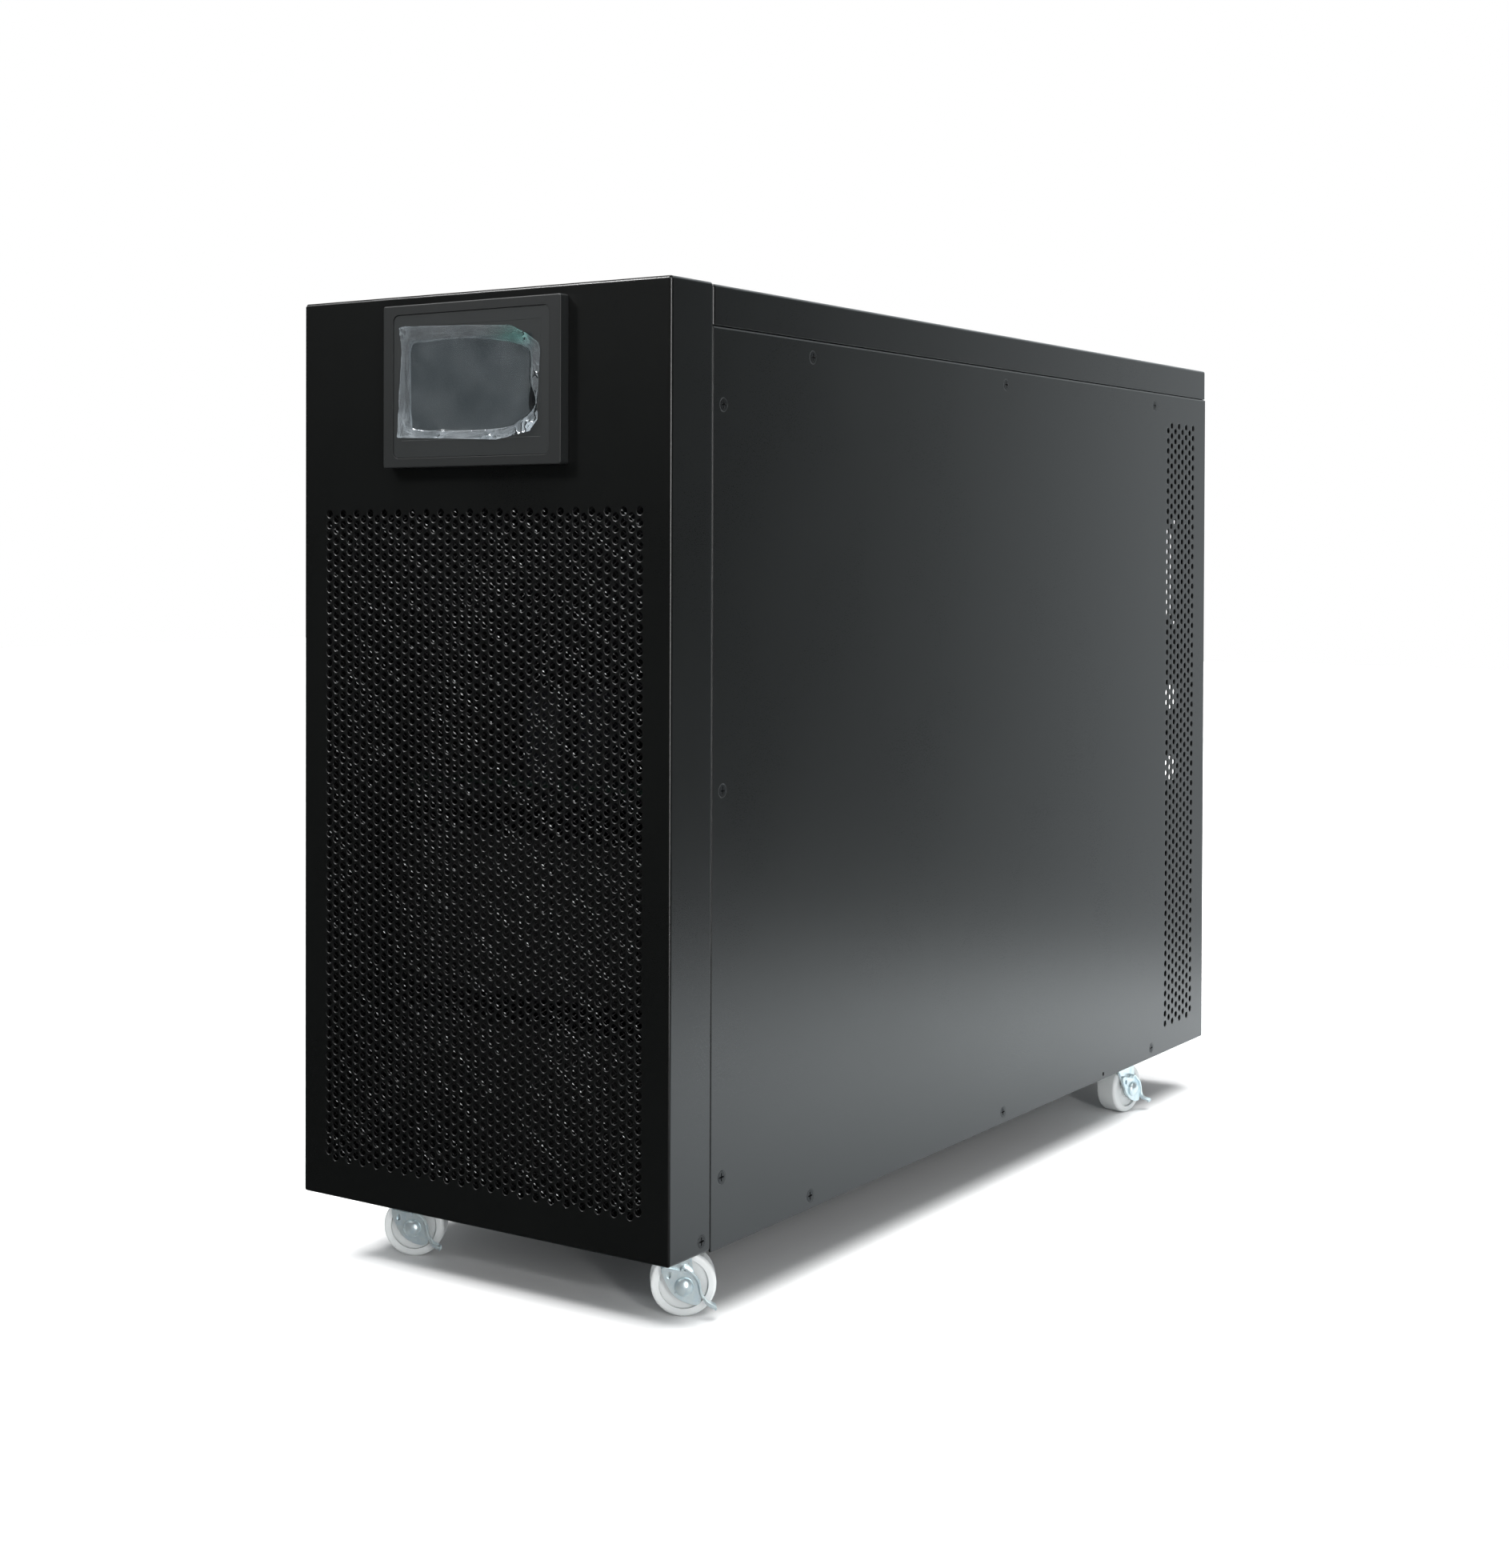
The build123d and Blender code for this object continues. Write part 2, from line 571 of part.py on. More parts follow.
def castor_plate():
    half = PLATE_SIDE / 2
    plate = block(-half, half, -half, half, PLATE_BOTTOM_Z, FLOOR_Z)
    plate = fillet(plate.edges().filter_by(Axis.Z), 4.0)
    plate += rod(BOSS_R, (0, 0, BOSS_BOTTOM_Z), (0, 0, 1), PLATE_BOTTOM_Z - BOSS_BOTTOM_Z)
    offset = BOLT_PITCH / 2
    for x in (-offset, offset):
        for y in (-offset, offset):
            plate -= rod(2.1, (x, y, PLATE_BOTTOM_Z), (0, 0, 1), PLATE_T)
    return plate - rod(KINGPIN_R, (0, 0, BOSS_BOTTOM_Z), (0, 0, 1), FLOOR_Z - BOSS_BOTTOM_Z)


def castor_kingpin():
    pin = rod(KINGPIN_R, (0, 0, CROWN_BOTTOM_Z - 0.3), (0, 0, 1), FLOOR_Z - CROWN_BOTTOM_Z + 0.3)
    return pin + rod(5.5, (0, 0, CROWN_BOTTOM_Z - 1.8), (0, 0, 1), 1.5)


def castor_fork():
    """A crown under the plate with a tapered leg each side of the wheel."""
    boss_r = 6.5
    crown = rod(15.0, (0, 0, CROWN_BOTTOM_Z), (0, 0, 1), FORK_T)
    crown += block(-11, 16, -FORK_OUTSIDE, FORK_OUTSIDE, CROWN_BOTTOM_Z, CROWN_TOP_Z)
    outline = Polyline(
        (-11, CROWN_TOP_Z), (16, CROWN_TOP_Z),
        (TRAIL + boss_r, WHEEL_R), (TRAIL - boss_r, WHEEL_R), close=True,
    )
    leg = make_face(Plane.XZ * outline)
    leg += Plane.XZ * Pos(TRAIL, WHEEL_R) * Circle(boss_r)
    leg = extrude(leg, FORK_T, dir=(0, 1, 0))
    fork = crown + Pos(0, FORK_INSIDE, 0) * leg + Pos(0, -FORK_OUTSIDE, 0) * leg
    fork -= rod(KINGPIN_R + RUNNING_FIT, (0, 0, CROWN_BOTTOM_Z), (0, 0, 1), FORK_T)
    return fork - rod(AXLE_R, AXLE_AT - (0, FORK_OUTSIDE, 0), (0, 1, 0), 2 * FORK_OUTSIDE)


def castor_axle():
    """A rivet with a domed head outside the brake lever and a plain head on the other side."""
    start = LEVER_OUTSIDE + 0.3
    axle = rod(AXLE_R, AXLE_AT - (0, start, 0), (0, 1, 0), start + FORK_OUTSIDE)
    head = rod(4.5, AXLE_AT - (0, start + 1.6, 0), (0, 1, 0), 1.6)
    head = fillet(head.edges().sort_by(Axis.Y)[0], 1.2)
    return axle + head + rod(4.0, AXLE_AT + (0, FORK_OUTSIDE, 0), (0, 1, 0), 1.4)


def castor_wheel():
    wheel = rod(WHEEL_R, AXLE_AT - (0, WHEEL_W / 2, 0), (0, 1, 0), WHEEL_W)
    wheel = fillet(wheel.edges().filter_by(GeomType.CIRCLE), 2.2)
    recess = 2.0
    for y in (-WHEEL_W / 2, WHEEL_W / 2 - recess):
        ring = rod(14.5, AXLE_AT + (0, y, 0), (0, 1, 0), recess)
        ring -= rod(7.0, AXLE_AT + (0, y, 0), (0, 1, 0), recess)
        wheel -= ring
    hub = FORK_INSIDE - 0.15
    wheel += rod(5.5, AXLE_AT - (0, hub, 0), (0, 1, 0), 2 * hub)
    return wheel - rod(AXLE_R + RUNNING_FIT, AXLE_AT - (0, hub, 0), (0, 1, 0), 2 * hub)


def castor_brake():
    """A stamped lever on the axle, pressed down in the locked position."""
    arm = Polyline((-3.0, 5.2), (5.5, 3.2), (18.0, -9.2), (16.5, -12.4), (-1.0, -6.0), close=True)
    lever = make_face(Plane.XZ * arm) + Plane.XZ * Circle(6.2)
    lever = Pos(0, -LEVER_OUTSIDE, 0) * extrude(lever, LEVER_T, dir=(0, 1, 0))
    pedal = Polyline((17.6, -8.4), (18.0, -9.6), (11.0, -12.6), (10.6, -11.4), close=True)
    pedal = extrude(make_face(Plane.XZ * pedal), PEDAL_OUTSIDE - LEVER_INSIDE, dir=(0, 1, 0))
    lever += Pos(0, -PEDAL_OUTSIDE, 0) * pedal
    lever = lever.moved(Location(AXLE_AT))
    return lever - rod(AXLE_R + RUNNING_FIT, AXLE_AT - (0, 19, 0), (0, 1, 0), 19)


def castor_bolts():
    bolts = []
    for x, y in castor_bolt_places():
        head = extrude(Pos(x, y, PLATE_BOTTOM_Z - 2.4) * RegularPolygon(3.1, 6), 2.4)
        bolts.append(head + rod(2.0, (x, y, PLATE_BOTTOM_Z), (0, 0, 1), PLATE_T + FLOOR_T))
    return group(bolts)


def save_castors():
    pieces = {
        "plate": castor_plate(), "kingpin": castor_kingpin(), "fork": castor_fork(),
        "axle": castor_axle(), "wheel": castor_wheel(), "brake": castor_brake(),
    }
    for corner, (x, y, angle) in CASTORS.items():
        for piece, shape in pieces.items():
            turned = shape if piece in ("plate", "kingpin") else Rot(0, 0, angle) * shape
            save(f"castor_{corner}_{piece}", Pos(x, y, 0) * turned)


def main():
    os.makedirs("parts", exist_ok=True)
    save("front_bezel", front_bezel())
    right = side_panel()
    save("right_side_panel", right)
    save("left_side_panel", mirror(right, Plane.YZ))
    save("top_cover", top_cover())
    save("base_pan", base_pan())
    save("inner_frame", inner_frame())
    save("dust_filter", dust_filter())
    save("filter_frame", filter_frame())
    save("panel_screws", panel_screws())
    save("display_housing", display_housing())
    save("display_overlay", display_overlay())
    save("display_glass", display_glass())
    save("display_board", display_board())
    save("rear_panel", rear_panel())
    for level, z in FAN_ZS.items():
        save(f"{level}_fan_frame", fan_frame(z))
        save(f"{level}_fan_rotor", fan_rotor(z))
    save("fan_guards", group(fan_guard(z) for z in FAN_ZS.values()))
    for role, x in BREAKER_XS.items():
        save(f"{role}_breaker", breaker(x))
        save(f"{role}_breaker_lever", breaker_lever(x))
    save("terminal_block", terminal_block())
    save("terminal_cover", terminal_cover())
    save("card_slot_cover", card_slot_cover())
    save("comm_ports", comm_ports())
    save("battery_shelf", shelf(BATTERY_SHELF_Z))
    save("electronics_shelf", shelf(ELECTRONICS_SHELF_Z))
    save("lower_batteries", battery_bank(FLOOR_TOP_Z))
    save("upper_batteries", battery_bank(BATTERY_SHELF_Z + FLOOR_T))
    save("power_board", power_board())
    save("heatsinks", heatsinks())
    save("capacitors", capacitors())
    save("inductors", inductors())
    save("castor_bolts", castor_bolts())
    save_castors()


main()
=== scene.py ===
import json
import math
import random

import bpy
from mathutils import Matrix, Vector, geometry, noise


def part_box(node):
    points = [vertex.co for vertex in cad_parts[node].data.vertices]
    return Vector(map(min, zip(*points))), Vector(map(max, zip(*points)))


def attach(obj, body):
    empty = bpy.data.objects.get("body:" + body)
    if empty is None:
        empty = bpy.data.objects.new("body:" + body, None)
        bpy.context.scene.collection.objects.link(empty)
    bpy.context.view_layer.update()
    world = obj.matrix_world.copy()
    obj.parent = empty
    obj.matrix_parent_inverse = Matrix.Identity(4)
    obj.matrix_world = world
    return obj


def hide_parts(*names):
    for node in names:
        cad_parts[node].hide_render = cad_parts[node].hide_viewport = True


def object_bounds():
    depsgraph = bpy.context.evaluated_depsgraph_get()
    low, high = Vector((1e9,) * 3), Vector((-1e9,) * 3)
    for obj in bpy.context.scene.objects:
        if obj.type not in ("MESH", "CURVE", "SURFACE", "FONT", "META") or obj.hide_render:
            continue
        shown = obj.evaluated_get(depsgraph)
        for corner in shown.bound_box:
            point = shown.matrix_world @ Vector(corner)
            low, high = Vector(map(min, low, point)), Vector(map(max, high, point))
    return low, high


# A black tower battery-backup cabinet on four braked castors. Metres, in the CAD's own frame:
# X to the right seen from the front, Y from the front to the rear, Z up from the floor.

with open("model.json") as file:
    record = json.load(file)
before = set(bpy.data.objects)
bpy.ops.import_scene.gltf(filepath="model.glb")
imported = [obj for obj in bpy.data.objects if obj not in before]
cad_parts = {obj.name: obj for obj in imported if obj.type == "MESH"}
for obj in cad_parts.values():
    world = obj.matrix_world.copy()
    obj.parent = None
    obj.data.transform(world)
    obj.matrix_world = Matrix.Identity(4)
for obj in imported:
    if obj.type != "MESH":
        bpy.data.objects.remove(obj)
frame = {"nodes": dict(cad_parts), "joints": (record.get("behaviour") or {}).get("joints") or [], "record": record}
cad_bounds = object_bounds()
NODES = frame["nodes"]
JOINTS = {joint["name"]: joint for joint in frame["joints"]}
CORNERS = ("front_right", "front_left", "rear_right", "rear_left")
UP = Vector((0.0, 0.0, 1.0))
MM = 0.001


# ---------------------------------------------------------------- node helpers

class Tree:
    """Short calls for building the node tree of a material or the world."""

    def __init__(self, owner):
        owner.use_nodes = True
        self.tree = owner.node_tree
        self.tree.nodes.clear()

    def node(self, kind, sockets=None, **settings):
        made = self.tree.nodes.new(kind)
        for key, value in settings.items():
            setattr(made, key, value)
        for key, value in (sockets or {}).items():
            self.feed(made.inputs[key], value)
        return made

    def feed(self, socket, value):
        if isinstance(value, bpy.types.NodeSocket):
            self.tree.links.new(value, socket)
        elif socket.type == "RGBA" and len(value) == 3:
            socket.default_value = (*value, 1.0)
        else:
            socket.default_value = value

    def ramp(self, value, low, high, out_low, out_high):
        """A straight map of a value from one range to another, clamped at its ends."""
        sockets = {"Value": value, "From Min": low, "From Max": high, "To Min": out_low, "To Max": out_high}
        return self.node("ShaderNodeMapRange", sockets).outputs[0]

    def mix(self, factor, a, b):
        made = self.node("ShaderNodeMix", data_type="RGBA")
        for socket, value in ((made.inputs[0], factor), (made.inputs[6], a), (made.inputs[7], b)):
            self.feed(socket, value)
        return made.outputs[2]

    def math(self, operation, a, b=0.0):
        return self.node("ShaderNodeMath", {0: a, 1: b}, operation=operation).outputs[0]


class Look(Tree):
    """A new material, whose textures lie in the object's own coordinates."""

    def __init__(self, name):
        self.material = bpy.data.materials.new(name)
        super().__init__(self.material)
        self.out = self.node("ShaderNodeOutputMaterial")
        self.coords = self.node("ShaderNodeTexCoord").outputs["Object"]

    def noise(self, scale, detail=2.0, roughness=0.5, stretch=None):
        """Noise with features about 1 / scale metres across, stretched along an axis if asked."""
        where = self.coords
        if stretch:
            where = self.node("ShaderNodeMapping", {"Vector": where, "Scale": stretch}).outputs[0]
        sockets = {"Vector": where, "Scale": scale, "Detail": detail, "Roughness": roughness}
        return self.node("ShaderNodeTexNoise", sockets).outputs["Fac"]

    def bump(self, height, strength, distance, normal=None):
        sockets = {"Height": height, "Strength": strength, "Distance": distance}
        if normal:
            sockets["Normal"] = normal
        return self.node("ShaderNodeBump", sockets).outputs[0]

    def rounded(self, radius):
        """Normals that round the sheet's cut edges."""
        return self.node("ShaderNodeBevel", {"Radius": radius}, samples=4).outputs[0]

    def surface(self, **sockets):
        """A Principled shader as the material's surface, with sockets named with underscores for spaces."""
        named = {key.replace("_", " "): value for key, value in sockets.items()}
        shader = self.node("ShaderNodeBsdfPrincipled", named)
        self.tree.links.new(shader.outputs[0], self.out.inputs["Surface"])
        return shader


def powder_coat(name, colour, edge=0.40 * MM, rough=0.265):
    """Satin black powder coat: a fine orange peel, faint patches of gloss and rounded cut edges."""
    t = Look(name)
    patches = t.noise(9.0, 3.0, 0.55)
    grain = t.noise(1500.0, 2.0, 0.6)
    shade = t.mix(patches, [c * 0.88 for c in colour], [c * 1.15 for c in colour])
    slow_gloss = t.ramp(patches, 0.3, 0.7, rough, rough + 0.02)
    fine_gloss = t.ramp(grain, 0.3, 0.7, 0.0, 0.04)
    gloss = t.math("ADD", slow_gloss, fine_gloss)
    normal = t.bump(grain, 0.10, 0.05 * MM, t.rounded(edge))
    t.surface(Base_Color=shade, Roughness=gloss, IOR=1.58, Normal=normal)
    return t.material


def moulded_plastic(name, colour, rough=0.45, grain_scale=2200.0, edge=0.45 * MM):
    """Spark-eroded plastic: a fine matt grain with slow changes of shade."""
    t = Look(name)
    grain = t.noise(grain_scale, 3.0, 0.6)
    slow = t.noise(30.0, 2.0)
    shade = t.mix(slow, [c * 0.92 for c in colour], [c * 1.08 for c in colour])
    gloss = t.ramp(grain, 0.25, 0.75, rough - 0.05, rough + 0.06)
    normal = t.bump(grain, 0.18, 0.04 * MM, t.rounded(edge))
    t.surface(Base_Color=shade, Roughness=gloss, Normal=normal)
    return t.material


def plated_steel(name, colour, rough=0.24, metallic=1.0):
    """Zinc-plated pressed steel: bluish, with drawn streaks and small dull spots."""
    t = Look(name)
    streaks = t.noise(700.0, 3.0, 0.6, stretch=(1.0, 1.0, 0.15))
    spots = t.noise(160.0, 4.0, 0.65)
    dull = [c * s for c, s in zip(colour, (0.80, 0.86, 0.92))]
    shade = t.mix(t.ramp(spots, 0.45, 0.7, 0.0, 1.0), colour, dull)
    streak_gloss = t.ramp(streaks, 0.3, 0.7, rough - 0.05, rough + 0.06)
    spot_gloss = t.ramp(spots, 0.5, 0.75, 0.0, 0.12)
    gloss = t.math("ADD", streak_gloss, spot_gloss)
    normal = t.bump(streaks, 0.12, 0.05 * MM, t.rounded(0.3 * MM))
    t.surface(Base_Color=shade, Metallic=metallic, Roughness=gloss, Normal=normal)
    return t.material


def wheel_nylon():
    """Milky white nylon with a slight sheen and faint floor marks."""
    t = Look("wheel_nylon")
    marks = t.ramp(t.noise(120.0, 4.0, 0.7), 0.60, 0.78, 0.0, 0.35)
    shade = t.mix(marks, (0.58, 0.60, 0.60), (0.42, 0.43, 0.42))
    grain = t.noise(900.0, 2.0)
    t.surface(
        Base_Color=shade, Roughness=t.ramp(grain, 0.3, 0.7, 0.30, 0.42), Subsurface_Weight=0.15,
        Subsurface_Scale=2 * MM, Subsurface_Radius=(1.0, 1.0, 1.0),
        Normal=t.bump(grain, 0.10, 0.05 * MM, t.rounded(0.5 * MM)),
    )
    return t.material


def display_glass():
    """Dark switched-off panel: bluish black with fine dust."""
    t = Look("display_glass")
    slow = t.noise(25.0, 2.0)
    dust = t.ramp(t.noise(2500.0, 2.0), 0.70, 0.78, 0.0, 0.5)
    shade = t.mix(slow, (0.0120, 0.0142, 0.0155), (0.0140, 0.0160, 0.0168))
    shade = t.mix(dust, shade, (0.05, 0.05, 0.05))
    t.surface(Base_Color=shade, Roughness=t.ramp(slow, 0.3, 0.7, 0.38, 0.42))
    return t.material


def printed_overlay(window_at):
    """Matt black print, with a smoother and slightly blue see-through window."""
    t = Look("printed_overlay")
    split = t.node("ShaderNodeSeparateXYZ", {0: t.coords})
    inside = []
    for axis, middle, half in zip(("X", "Z"), window_at, WINDOW_HALF):
        away = t.math("ABSOLUTE", t.math("SUBTRACT", split.outputs[axis], middle))
        inside.append(t.ramp(away, half - 0.3 * MM, half + 0.3 * MM, 1.0, 0.0))
    window = t.math("MULTIPLY", *inside)
    grain = t.noise(3000.0, 3.0, 0.6)
    slow = t.noise(30.0, 2.0)
    ink = t.mix(slow, (0.0070, 0.0087, 0.0090), (0.0082, 0.0100, 0.0103))
    glass = t.mix(slow, (0.0070, 0.0105, 0.0125), (0.0110, 0.0140, 0.0150))
    rough = t.ramp(window, 0.0, 1.0, 0.52, 0.30)
    printed_grain = t.math("MULTIPLY", grain, t.math("SUBTRACT", 1.0, window))
    normal = t.bump(printed_grain, 0.18, 0.04 * MM)
    t.surface(Base_Color=t.mix(window, ink, glass), Roughness=rough, Normal=normal)
    return t.material


def clear_film():
    """Thin protective film: nearly clear where it is stuck down, hazy and glossy where it is loose, with painted
    highlights along the loose border.
    """
    t = Look("clear_film")
    marks = t.node("ShaderNodeAttribute", attribute_name=FILM_MARKS).outputs[0]
    split = t.node("ShaderNodeSeparateColor", {0: marks})
    # Red holds the loose border's haze together with its painted highlights
    loose, teal = split.outputs["Red"], split.outputs["Green"]
    haze = t.noise(55.0, 4.0, 0.6)
    scuffs = t.ramp(t.noise(420.0, 4.0, 0.7), 0.56, 0.74, 0.0, 1.0)
    shade = t.mix(haze, (0.52, 0.63, 0.72), (0.72, 0.76, 0.78))
    shade = t.mix(t.math("MULTIPLY", teal, 0.8), shade, (0.24, 0.86, 0.74))
    veil = t.node("ShaderNodeBsdfDiffuse", {"Color": shade}).outputs[0]
    clear = t.node("ShaderNodeBsdfTransparent", {"Color": (0.97, 0.98, 0.98)}).outputs[0]
    dusty = t.math("MULTIPLY", scuffs, 0.035)
    haze_and_painted_highlight = t.math("ADD", dusty, t.math("MULTIPLY", loose, 0.10))
    amount = t.math("ADD", t.ramp(haze, 0.3, 0.7, 0.014, 0.040), haze_and_painted_highlight)
    body = t.node("ShaderNodeMixShader", {0: amount, 1: clear, 2: veil}).outputs[0]
    sheen = t.node("ShaderNodeBsdfGlossy", {"Color": (0.92, 0.96, 0.98), "Roughness": 0.13}).outputs[0]
    grazing = t.node("ShaderNodeLayerWeight", {"Blend": 0.20}).outputs["Fresnel"]
    film = t.node("ShaderNodeMixShader", {0: grazing, 1: body, 2: sheen}).outputs[0]
    t.tree.links.new(film, t.out.inputs["Surface"])
    return t.material


def filter_strand():
    """Glossy black monofilament of the dust filter."""
    t = Look("filter_strand")
    slow = t.noise(300.0, 3.0)
    shade = t.mix(slow, (0.006, 0.006, 0.006), (0.016, 0.016, 0.016))
    t.surface(Base_Color=shade, Roughness=t.ramp(slow, 0.3, 0.7, 0.25, 0.40))
    return t.material


def filter_painted_glint():
    """Painted glints on the filter: a pale and glossy colour that stands in for the highlights on the crossings.
    """
    t = Look("filter_painted_glint")
    slow = t.noise(220.0, 2.0)
    # Painted highlights: pale colours for the glints
    shade = t.mix(t.ramp(slow, 0.35, 0.65, 0.0, 1.0), (0.22, 0.23, 0.23), (0.93, 0.95, 0.95))
    t.surface(Base_Color=shade, Roughness=t.ramp(slow, 0.3, 0.7, 0.20, 0.30))
    return t.material


def circuit_board():
    """Dark green solder mask with paler angular tracks, darkened towards black: partly its own colour, partly
    painted shade inside the cabinet.
    """
    t = Look("circuit_board")
    tracks = t.node("ShaderNodeTexVoronoi", {"Vector": t.coords, "Scale": 260.0}, distance="MANHATTAN")
    lines = t.ramp(tracks.outputs["Distance"], 0.30, 0.34, 0.0, 1.0)
    mask = t.mix(lines, (0.002, 0.008, 0.005), (0.003, 0.014, 0.008))
    t.surface(Base_Color=mask, Roughness=t.ramp(lines, 0.0, 1.0, 0.3, 0.4))
    return t.material


def wound_copper():
    """Dark varnished windings."""
    t = Look("wound_copper")
    turns = t.noise(500.0, 2.0, 0.5, stretch=(1.0, 1.0, 0.1))
    t.surface(
        Base_Color=t.mix(turns, (0.12, 0.045, 0.016), (0.20, 0.085, 0.035)), Metallic=0.7,
        Roughness=t.ramp(turns, 0.3, 0.7, 0.25, 0.4), Normal=t.bump(turns, 0.5, 0.4 * MM),
    )
    return t.material


BLACK = (0.0018, 0.0021, 0.0020)
MATERIALS = {
    "casing": powder_coat("casing", BLACK, 0.5 * MM),
    "casing_folds": powder_coat("casing_folds", BLACK, 1.1 * MM),
    "casing_rims": powder_coat("casing_rims", BLACK, 0.05 * MM, 0.42),
    "chassis": powder_coat("chassis", (0.004, 0.004, 0.004)),
    "filter_mesh": filter_strand(),
    "black_plastic": moulded_plastic("black_plastic", (0.012, 0.012, 0.012)),
    "black_screws": plated_steel("black_screws", (0.05, 0.05, 0.05), 0.34),
    "display_plastic": moulded_plastic("display_plastic", (0.0055, 0.0066, 0.0068), 0.50),
    "display_overlay": moulded_plastic("display_overlay", (0.0075, 0.0092, 0.0095), 0.52, 3000.0),
    "display_glass": display_glass(),
    "circuit_board": circuit_board(),
    "guard_wire": plated_steel("guard_wire", (0.62, 0.64, 0.66), 0.20),
    "breaker_grey": moulded_plastic("breaker_grey", (0.42, 0.43, 0.42), 0.5),
    "breaker_lever": moulded_plastic("breaker_lever", (0.015, 0.015, 0.016), 0.35),
    "port_caps": moulded_plastic("port_caps", (0.02, 0.02, 0.02), 0.6),
    # Parts inside the cabinet: near-black colours, partly their own and partly painted shade of the dark inside
    "battery_case": moulded_plastic("battery_case", (0.0040, 0.0040, 0.0045), 0.60),
    "aluminium": plated_steel("aluminium", (0.05, 0.05, 0.05), 0.42),
    "capacitor_can": moulded_plastic("capacitor_can", (0.003, 0.004, 0.008), 0.50),
    "copper_coil": wound_copper(),
    "zinc_steel": plated_steel("zinc_steel", (0.78, 0.88, 0.90), 0.32, 0.74),
    "wheel_nylon": wheel_nylon(),
}
SLOT_OF = {part["node"]: part["material_slot"] for part in frame["record"]["subparts"]}
# The side panels' folds are rounder than the casing's other edges
LOOK_OF = {"right_side_panel": "casing_folds", "left_side_panel": "casing_folds"}


def dress_cad():
    """Every CAD node takes the material of its slot, or a variant of it."""
    for name, obj in NODES.items():
        obj.data.materials.clear()
        obj.data.materials.append(MATERIALS[LOOK_OF.get(name, SLOT_OF[name])])


# ---------------------------------------------------------------- piece helpers

def piece(name, mesh, slot, body="cabinet", material=None, smooth=True):
    """A new object on a CAD body, in its slot's material or in one of its own."""
    obj = bpy.data.objects.new(name, mesh)
    bpy.context.collection.objects.link(obj)
    mesh.materials.append(material or MATERIALS[slot])
    for polygon in mesh.polygons:
        polygon.use_smooth = smooth
    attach(obj, body)
    return obj


def mesh_from(name, points, faces):
    mesh = bpy.data.meshes.new(name)
    mesh.from_pydata([tuple(p) for p in points], [], faces)
    mesh.update()
    return mesh


# ---------------------------------------------------------------- rims of the front perforation

HOLE_COLUMNS, HOLE_ROWS = 43, 61
HOLE_PITCH = (5.65 * MM, 6.61 * MM)
HOLE_TOP_Z = 468.6 * MM
RIM_SIDES = 16
# Radius and depth behind the sheet's face, at the rim's outer and inner edge
RIM_SECTION = ((2.66 * MM, -0.015 * MM), (2.34 * MM, 0.17 * MM))


def grille_rims():
    """The rounded lip of each punched hole, which catches the light along its lower side."""
    face_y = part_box("front_bezel")[0].y
    points, faces = [], []
    turns = [math.tau * k / RIM_SIDES for k in range(RIM_SIDES)]
    section = [
        (radius * math.cos(t), face_y + depth, radius * math.sin(t))
        for radius, depth in RIM_SECTION for t in turns
    ]
    for column in range(HOLE_COLUMNS):
        x = (column - (HOLE_COLUMNS - 1) / 2) * HOLE_PITCH[0]
        for row in range(HOLE_ROWS):
            z = HOLE_TOP_Z - (row + (column % 2) / 2) * HOLE_PITCH[1]
            first = len(points)
            points += [(x + out_x, y, z + out_z) for out_x, y, out_z in section]
            for k in range(RIM_SIDES):
                n = (k + 1) % RIM_SIDES
                faces.append((first + k, first + n, first + RIM_SIDES + n, first + RIM_SIDES + k))
    mesh = mesh_from("grille_rims", points, faces)
    piece("grille_rims", mesh, "casing", material=MATERIALS["casing_rims"])


# Section of a side panel's folded lip: how far in from its face and how far out over its edge
LIP_SECTION = ((0.0, 0.0), (0.06 * MM, 0.26 * MM), (0.20 * MM, 0.44 * MM), (0.45 * MM, 0.52 * MM))


def panel_lips():
    """The rounded folds along the front and the top edge of each side panel."""
    for side, node in ((1, "right_side_panel"), (-1, "left_side_panel")):
        low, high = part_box(node)
        face_x = high.x if side > 0 else low.x
        points, faces = [], []
        for inward, outward in LIP_SECTION:
            x = face_x - side * inward
            points += [(x, low.y - outward, low.z), (x, low.y - outward, high.z)]
        for inward, outward in LIP_SECTION:
            x = face_x - side * inward
            points += [(x, low.y, high.z + outward), (x, high.y, high.z + outward)]
        for first in (0, 2 * len(LIP_SECTION)):
            for k in range(len(LIP_SECTION) - 1):
                a = first + 2 * k
                faces.append((a, a + 1, a + 3, a + 2))
        piece(f"{node}_lips", mesh_from(f"{node}_lips", points, faces), "casing")


# ---------------------------------------------------------------- dust filter

# Half the width and height of the filter's lozenges
CROSSING = (2.8 * MM, 1.95 * MM)
STRAND_R = 0.24 * MM
LAYER_STEP = 1.8 * STRAND_R
# Every so many strands carry a run of painted glints, and a few lie between
GLINT_EVERY = 7
GLINT_CHANCE = (0.9, 0.06)
GLINT_SIZE = (1.7 * MM, 0.50 * MM)
GLINT_MARGIN = 1.0 * MM


def clip_line(origin, direction, low, high):
    """The stretch of a line inside a rectangle, as two parameters, or None."""
    start, end = -1e9, 1e9
    for axis in (0, 1):
        a = (low[axis] - origin[axis]) / direction[axis]
        b = (high[axis] - origin[axis]) / direction[axis]
        start, end = max(start, min(a, b)), min(end, max(a, b))
    return (start, end) if end - start > CROSSING[0] else None


def add_strand(points, faces, ends, y, across):
    """A square strand between two points of the filter's plane."""
    first = len(points)
    for x, z in ends:
        for out, deep in ((-1, 0), (0, -1), (1, 0), (0, 1)):
            side = out * STRAND_R
            points.append((x + across[0] * side, y + deep * STRAND_R, z + across[1] * side))
    for k in range(4):
        n = (k + 1) % 4
        faces.append((first + k, first + n, first + 4 + n, first + 4 + k))
    faces.append((first + 3, first + 2, first + 1, first))
    faces.append((first + 4, first + 5, first + 6, first + 7))


